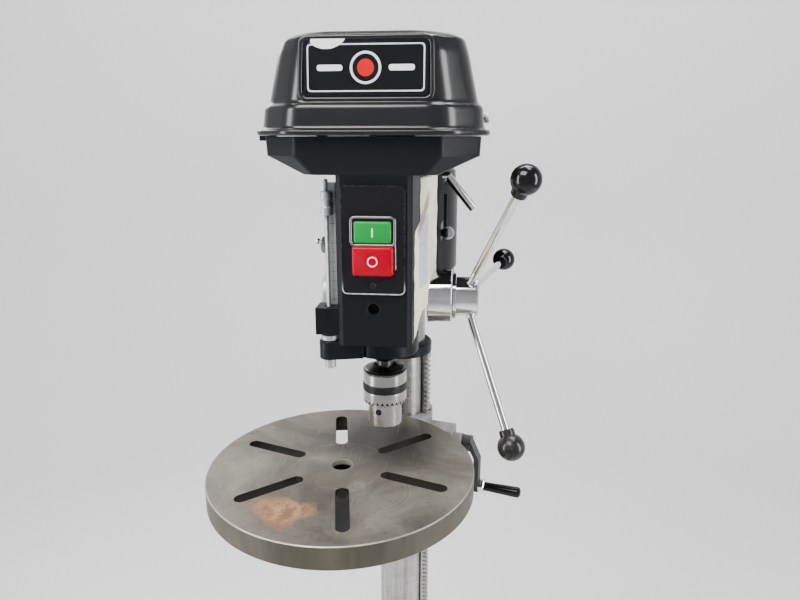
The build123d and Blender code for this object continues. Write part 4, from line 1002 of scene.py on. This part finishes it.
def make_side_label():
    """Label stuck along the head's right side, slightly wavy."""
    rng = random.Random(7)
    low_z, high_z = 1319.0, 1496.0
    steps, columns = 60, 26
    normal = Vector((110, -22, 0)).normalized()
    bm = bmesh.new()
    grid = []
    for step in range(steps + 1):
        z = low_z + (high_z - low_z) * step / steps
        front, rear = label_edges(step, z, rng)
        line = []
        for column in range(columns + 1):
            y = front + (rear - front) * column / columns
            lift = 0.22 + 0.10 * math.sin(y * 0.31) * math.sin(z * 0.17) + rng.uniform(0, 0.03)
            spot = Vector((side_x(y) * MM, COLUMN.y + y * MM, z * MM)) + normal * lift * MM
            line.append(bm.verts.new(spot))
        grid.append(line)
    for lower, upper in zip(grid, grid[1:]):
        for column in range(columns):
            bm.faces.new((lower[column], lower[column + 1], upper[column + 1], upper[column]))
    piece = add_piece("side_label", bm, "stand", "panel", "label")
    solid = piece.modifiers.new("paper", "SOLIDIFY")
    solid.thickness = 0.15 * MM
    solid.offset = 0.0


def make_side_cover():
    """Thin dull plate over the head's right side, behind the label, that keeps reflections off it."""
    front_y, rear_y = -178.0, -62.0
    low_z, high_z, lock_z, lock_y = 1345.0, 1496.0, 1414.0, -110.0
    side, slope = 60.1, 4.0 / 116.0
    normal = Vector((1, -slope, 0)).normalized()
    bm = bmesh.new()
    parts = (
        rectangle(front_y, low_z, rear_y, lock_z - 12),
        rectangle(front_y, lock_z + 12, rear_y, high_z),
        rectangle(front_y, lock_z - 12.5, lock_y - 9, lock_z + 12.5),
    )
    for outline in parts:
        points = [((side + (y + 176) * slope) * MM, COLUMN.y + y * MM, z * MM) for y, z in outline]
        plate(bm, points, normal, 0.4 * MM, 0.15 * MM)
    add_piece("head_side_cover", bm, "stand", "cast_black", "cover_black")


def make_scale_marks():
    """Marks down the middle of the depth scale: long every tenth, medium every fifth."""
    low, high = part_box("scale_bar")
    centre_x = (low.x + high.x) / 2 + 0.4 * MM
    face, half_height = low.y - 0.02 * MM, 0.28 * MM
    bm = bmesh.new()
    for number in range(56):
        z = low.z + (6 + 2.2 * number) * MM
        half = (2.6 if number % 10 == 0 else 1.9 if number % 5 == 0 else 1.0) * MM
        outline = [(centre_x + side * half, face, z + up * half_height)
                   for side, up in ((-1, -1), (1, -1), (1, 1), (-1, 1))]
        plate(bm, outline, (0, -1, 0), 0.06 * MM, 0.01 * MM)
    add_piece("scale_marks", bm, "stand", "matte_black", "shadow")


def make_stop_rod():
    """Threaded stop rod with its round foot, and the pair of stop nuts on it."""
    low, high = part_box("depth_rod")
    centre = middle("depth_rod")
    length = (high.z - low.z) / MM
    crest, root, pitch = 2.6, 2.2, 1.25
    profile = [(0.0, 5.6), (0.8, 6.5), (11.0, 6.5), (11.6, 6.0), (11.6, root)]
    for number in range(int((length - 13) / pitch)):
        profile += [(12 + pitch * number, root), (12 + pitch * (number + 0.5), crest)]
    profile += [(length - 1, root), (length, root - 0.5)]
    nut = [(0.0, 2.9), (0.0, 5.6), (0.8, 6.2), (8.0, 6.2), (9.0, 5.4), (10.0, 5.0), (16.0, 5.0), (17.0, 5.4),
           (18.0, 6.2), (25.0, 6.2), (26.0, 5.6), (26.0, 2.9)]
    nut_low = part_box("depth_nuts")[0]
    for name, node, shape, foot_z, segments in (
        ("stop_rod_form", "depth_rod", profile, low.z, 20),
        ("stop_nut_forms", "depth_nuts", nut, nut_low.z, 40),
    ):
        turned_piece(name, shape, (centre.x, centre.y, foot_z), (0, 0, 1), segments,
                     body_of(node), SLOT_OF[node], "zinc", standing_for=(node,))


def hex_head(bm, centre, axis, across, height):
    """Chamfered hexagon head with a shallow dished top."""
    axis = Vector(axis).normalized()
    side = axis.orthogonal().normalized()
    other = axis.cross(side)
    loops = []
    for along, scale in ((0, 0.97), (0.08, 1.0), (0.86, 1.0), (1.0, 0.90), (1.0, 0.80)):
        radius = across / math.sqrt(3) * scale
        spot = Vector(centre) + axis * height * along
        loops.append([spot + (side * math.cos(a) + other * math.sin(a)) * radius
                      for a in (math.pi * n / 3 for n in range(6))])
    loft(bm, loops, True, True)


def make_set_screws():
    """Set screws that show on the head and on the ring above the rack."""
    head = [(-1, 3.4), (0.4, 3.4), (0.9, 2.8), (0.9, 1.9), (-0.5, 1.7), (-0.5, 0)]
    bm = bmesh.new()
    for y in (-0.150, -0.118):
        spot = (side_x(-176) * MM + 1.2 * MM, COLUMN.y + y, 1.3555)
        turned(bm, in_metres(head), spot, (1, 0, 0), 24)
    add_piece("head_set_screws", bm, "stand", "zinc")
    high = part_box("rack_ring")[1]
    grub = [(-3, 3.9), (-0.2, 3.9), (0.0, 3.4), (0.0, 2.0), (-1.6, 1.8), (-1.6, 0)]
    spot = (COLUMN.x, high.y - 1 * MM, high.z - 5 * MM)
    turned_piece("ring_set_screw", grub, spot, (0, 1, 0), 24, "stand", "matte_black")


def make_toggle_nut():
    """Threaded bushing of the lamp switch with its hexagon nut."""
    low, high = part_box("lamp_toggle")
    boss_end = (high.x - 10.7 * MM, (low.y + high.y) / 2, middle("slide_lock").z)
    bushing = [(0, 6.3), (0, 8.0), (11.6, 8.0), (12.1, 7.6), (12.1, 6.4), (11.6, 6.3), (0, 6.3)]
    nut = [(6.4, 8.05), (6.4, 10.2), (7.0, 11.0), (10.4, 11.0), (11.0, 10.2), (11.0, 8.05)]
    bm = bmesh.new()
    turned(bm, in_metres(bushing), boss_end, (-1, 0, 0), 32)
    turned(bm, in_metres(nut), boss_end, (-1, 0, 0), 6)
    add_piece("toggle_nut", bm, "stand", "zinc", "dull_chrome", angle=20)


def around_spindle(radius, angle, z):
    """Point at a radius and angle about the spindle, in millimetres and radians."""
    return (SPINDLE.x + radius * MM * math.cos(angle), SPINDLE.y + radius * MM * math.sin(angle), z * MM)


def make_chuck_sleeve():
    """Key-driven sleeve with pointed bevel teeth, and a dark ring behind them as painted shade in the gaps.
    """
    low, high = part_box("chuck_sleeve")
    base, top = low.z / MM, high.z / MM
    teeth, per_tooth = 28, 6
    segments = teeth * per_tooth
    gaps = [abs((k % per_tooth) / per_tooth * 2 - 1) for k in range(segments)]
    lower = [(22.6, 0.0, 6.4), (25.6, 0.0, 5.6), (26.5, 1.6, 4.6)]
    tall = top - base
    upper = [(26.5, 14.6), (26.3, 15.0), (26.3, 26.0), (26.5, 26.4), (26.5, tall - 1.0), (25.6, tall),
             (20.9, tall), (20.9, 6.0)]
    turns = [2 * math.pi * k / segments for k in range(segments)]
    bm = bmesh.new()
    loops = []
    for radius, rise, notch in lower:
        loops.append([around_spindle(radius, t, base + rise + notch * gap) for t, gap in zip(turns, gaps)])
    for radius, rise in upper:
        loops.append([around_spindle(radius, t, base + rise) for t in turns])
    loops.append(loops[0])
    rings = loft(bm, loops)
    bmesh.ops.remove_doubles(bm, verts=rings[0] + rings[-1], dist=1e-6)
    add_piece("chuck_sleeve_form", bm, "chuck_sleeve", "chrome", "chuck_steel", 20, ("chuck_sleeve",))
    # Painted shade: dark ring seen through the gaps between the teeth.
    core = [(-0.2, 20.6), (-0.2, 21.6), (3.0, 24.4), (7.0, 24.4), (7.0, 20.6)]
    spot = (SPINDLE.x, SPINDLE.y, low.z + 0.6 * MM)
    turned_piece("chuck_tooth_gap_shade", core, spot, (0, 0, 1), 72, "chuck_sleeve", "matte_black", "shadow")


def make_chuck_band():
    """Black band of the chuck with fine upright ribs."""
    segments, rows, rib, chamfer = 150, 12, 0.16, 0.9
    low, high, outer = 1238.0, 1248.2, 27.1
    bm = bmesh.new()
    loops = []
    for row in range(rows + 1):
        radius = outer - (chamfer if row in (0, rows) else 0.0)
        z = low + (high - low) * row / rows
        loops.append([around_spindle(radius - rib * (k % 2), 2 * math.pi * k / segments, z)
                      for k in range(segments)])
    loft(bm, loops)
    add_piece("chuck_band", bm, "chuck_sleeve", "matte_black", "band_black", 60)


def make_chuck_dome():
    """Black dome over the chuck."""
    dome = [(0, 25.2), (0.3, 26.2), (1.6, 26.2), (2.6, 25.2), (3.7, 22.0), (5.0, 18.0), (6.1, 14.6),
            (6.3, 13.2), (5.6, 8.2)]
    spot = (SPINDLE.x, SPINDLE.y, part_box("chuck_sleeve")[1].z + 0.25 * MM)
    turned_piece("chuck_dome", dome, spot, (0, 0, 1), 72, "spindle", "cast_black", "dome_black")


def make_arbor_ring():
    """Stepped ring above the chuck's dome."""
    collar = [(0, 8.1), (0, 11.4), (0.6, 12.2), (2.0, 12.2), (2.6, 10.9), (3.4, 10.9), (4.0, 11.8),
              (5.4, 11.8), (6.0, 10.9), (6.0, 8.1)]
    spot = (SPINDLE.x, SPINDLE.y, 1.2755)
    turned_piece("arbor_ring", collar, spot, (0, 0, 1), 48, "spindle", "steel", "dome_black")


def make_key_holes():
    """Painted shade in the three chuck-key holes: a dark cup set inside each."""
    cup = [(-1.6, 0.0), (-1.6, 3.0), (0.1, 3.35), (0.15, 3.8), (0.0, 3.9)]
    bm = bmesh.new()
    for number in range(3):
        angle = math.radians(-106 + 120 * number)
        outward = Vector((math.cos(angle), math.sin(angle), 0))
        turned(bm, in_metres(cup), Vector(around_spindle(20.5, angle, 1213.0)), outward, 24)
    add_piece("key_hole_shade", bm, "spindle", "matte_black", "shadow")


def make_slide_lock():
    """Thumb screw that locks the slide bar, with a round flat grip."""
    centre = middle("slide_lock")
    low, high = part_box("slide_lock")
    stem = [(0, 4.9), (9, 4.9), (9, 6.4), (10.4, 6.8), (13, 6.8), (14, 6.0), (15, 4.2)]
    stem_start = (low.x, centre.y, centre.z)
    turned_piece("slide_lock_stem", stem, stem_start, (1, 0, 0), 32, "slide_lock", "matte_black")
    grip = [(0, 7.0), (0.4, 8.0), (1.2, 8.6), (4.0, 8.6), (4.8, 8.0), (5.2, 6.4), (4.5, 5.8), (4.5, 0)]
    grip_start = (high.x - 1.5 * MM, centre.y + 2.6 * MM, centre.z)
    turned_piece("slide_lock_form", grip, grip_start, (0, -1, 0), 48, "slide_lock", "zinc", "aluminium",
                 standing_for=("slide_lock",))


# ------------------------------------------------------------------ feed, crank, table and motor details
def knob_centres():
    """Centres of the three feed knobs, from their own separate meshes."""
    first_angle = 124.1
    groups = {}
    for vertex in frame["nodes"]["feed_knobs"].data.vertices:
        point = vertex.co.copy()
        angle = math.degrees(math.atan2(point.z - FEED.z, point.y - FEED.y)) % 360
        nearest = min(range(3), key=lambda k: abs((angle - first_angle - 120 * k + 180) % 360 - 180))
        groups.setdefault(nearest, []).append(point)
    centres = []
    for number in range(3):
        members = groups[number]
        far = max(members, key=lambda p: math.hypot(p.y - FEED.y, p.z - FEED.z))
        highest = max(p.x for p in members)
        reach = math.hypot(far.y - FEED.y, far.z - FEED.z) - KNOB_RADIUS * MM
        angle = math.atan2(far.z - FEED.z, far.y - FEED.y)
        centres.append(Vector((highest - KNOB_RADIUS * MM, FEED.y + reach * math.cos(angle),
                               FEED.z + reach * math.sin(angle))))
    return centres


def make_knob_details():
    """Ball knobs with a flared neck and a moulding seam."""
    hub = Vector((98 * MM, FEED.y, FEED.z))
    bm = bmesh.new()
    seams = bmesh.new()
    ball, neck, seam, steps = KNOB_RADIUS, 9.2, 16.22 * MM, 24
    for centre in knob_centres():
        outward = (centre - hub).normalized()
        profile = [(-21.0, 8.2), (-20.4, 8.9), (-17.0, neck), (-15.0, neck)]
        start = math.acos(-13.4 / ball)
        for step in range(steps + 1):
            angle = start * (1 - step / steps)
            profile.append((ball * math.cos(angle), ball * math.sin(angle)))
        turned(bm, in_metres(profile), centre, outward, 56)
        side = outward.orthogonal().normalized()
        other = outward.cross(side)
        ring = [centre + outward * 1.0 * MM + (side * math.cos(a) + other * math.sin(a)) * seam
                for a in (math.radians(degrees) for degrees in range(0, 360, 6))]
        tube(seams, ring, 0.16 * MM, closed=True, sides=6)
    add_piece("knob_forms", bm, "feed", "knob", angle=40, standing_for=("feed_knobs",))
    add_piece("knob_seams", seams, "feed", "knob")


def make_crank_nut():
    """Plated hexagon nut between the crank arm and its grip."""
    low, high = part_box("crank_grip")
    swing = math.radians(-14.8)
    axis = Vector((math.cos(swing), math.sin(swing), 0))
    pin = Vector((COLUMN.x, COLUMN.y, (low.z + high.z) / 2))
    bm = bmesh.new()
    hex_head(bm, pin + axis * 132.2 * MM, axis, 20 * MM, 8.8 * MM)
    add_piece("crank_nut", bm, "crank", "chrome")


def make_motor_vents():
    """Two rows of vents round the motor as dark plates of painted shade for the openings, left out where its
    bracket is.
    """
    low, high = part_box("motor_housing")
    centre = middle("motor_rotor")
    count, shell, half_width, tall = 18, 77.9 * MM, 2.2 * MM, Vector((0, 0, 11 * MM))
    bm = bmesh.new()
    for number in range(count):
        angle = 2 * math.pi * number / count
        direction = Vector((math.cos(angle), math.sin(angle), 0))
        if direction.y < -0.55:
            continue
        across = Vector((-direction.y, direction.x, 0)) * half_width
        for z in (low.z + 18 * MM, high.z - 26 * MM):
            face = Vector((centre.x, centre.y, z)) + direction * shell
            outline = [face - across, face + across, face + across + tall, face - across + tall]
            plate(bm, outline, direction, 0.2 * MM, 0.05 * MM)
    add_piece("motor_vents", bm, "motor", "matte_black", "shadow")


def make_motor_fittings():
    """Through-bolts under the motor and a blank plate on its shell."""
    low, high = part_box("motor_housing")
    centre = middle("motor_rotor")
    circle = 62 * MM
    bm = bmesh.new()
    for number in range(4):
        angle = math.radians(45 + 90 * number)
        spot = (centre.x + circle * math.cos(angle), centre.y + circle * math.sin(angle), low.z + 4.0 * MM)
        hex_head(bm, spot, (0, 0, -1), 9 * MM, 3.6 * MM)
    add_piece("motor_bolts", bm, "motor", "zinc")
    bm = bmesh.new()
    face_y, centre_z = high.y - 0.3 * MM, low.z + 100 * MM
    outline = in_metres(rounded(rectangle(-24, -30, 24, 30), 3, 4))
    plate(bm, [(centre.x + x, face_y, centre_z + z) for x, z in outline], (0, 1, 0), 0.28 * MM, 0.1 * MM)
    add_piece("motor_plate", bm, "motor", "aluminium")


# ------------------------------------------------------------------ assembly
SLOT_OF = {part["node"]: part["material_slot"] for part in frame["record"]["subparts"]}
FINISH = {
    "table_arm": "arm_grey", "scale_bar": "scale_grey", "chuck_body": "chuck_steel", "jaw_1": "chuck_steel",
    "jaw_2": "chuck_steel", "jaw_3": "chuck_steel", "rod_nut": "zinc", "spindle": "dark_steel",
    "table_bracket": "arm_grey", "belt_tray": "cast_black", "crank_arm": "crank_iron", "base": "base_grey",
    "column_flange": "base_grey",
}
EASED = {
    "base": 2.2, "column_flange": 1.5, "rack_ring": 0.8, "head_casting": 1.8, "switch_panel": 0.8,
    "belt_tray": 1.6, "depth_yoke": 1.4, "table_bracket": 1.6, "table_arm": 1.6, "crank_arm": 1.2,
    "motor_housing": 1.4, "motor_bracket": 1.2, "table": 0.7, "tilt_bolt": 0.6, "flange_bolts": 0.4,
    "rack": 0.25, "column_lock": 0.6, "table_lock": 0.6, "feed_barrel": 0.8, "feed_hub": 0.7,
    "scale_bar": 0.3, "spring_cap": 0.6,
}


def dress_nodes():
    """Gives every CAD node the material of its slot."""
    for node, thing in frame["nodes"].items():
        thing.data.materials.clear()
        thing.data.materials.append(MATERIALS[FINISH.get(node, SLOT_OF[node])])


def main():
    """Builds the whole scene."""
    make_camera()
    make_stage(MATERIALS["floor"])
    make_lights()
    dress_nodes()
    for node, width in EASED.items():
        softened(node, width * MM)
    make_lid()
    make_plaque()
    make_lid_knob()
    make_bezel()
    make_panel_details()
    make_buttons()
    make_button_marks()
    make_drift_hole_shade()
    make_side_label()
    make_side_cover()
    make_scale_marks()
    make_stop_rod()
    make_set_screws()
    make_toggle_nut()
    make_chuck_sleeve()
    make_chuck_band()
    make_chuck_dome()
    make_key_holes()
    make_arbor_ring()
    make_slide_lock()
    make_knob_details()
    make_crank_nut()
    make_motor_vents()
    make_motor_fittings()


MATERIALS = make_materials()
main()
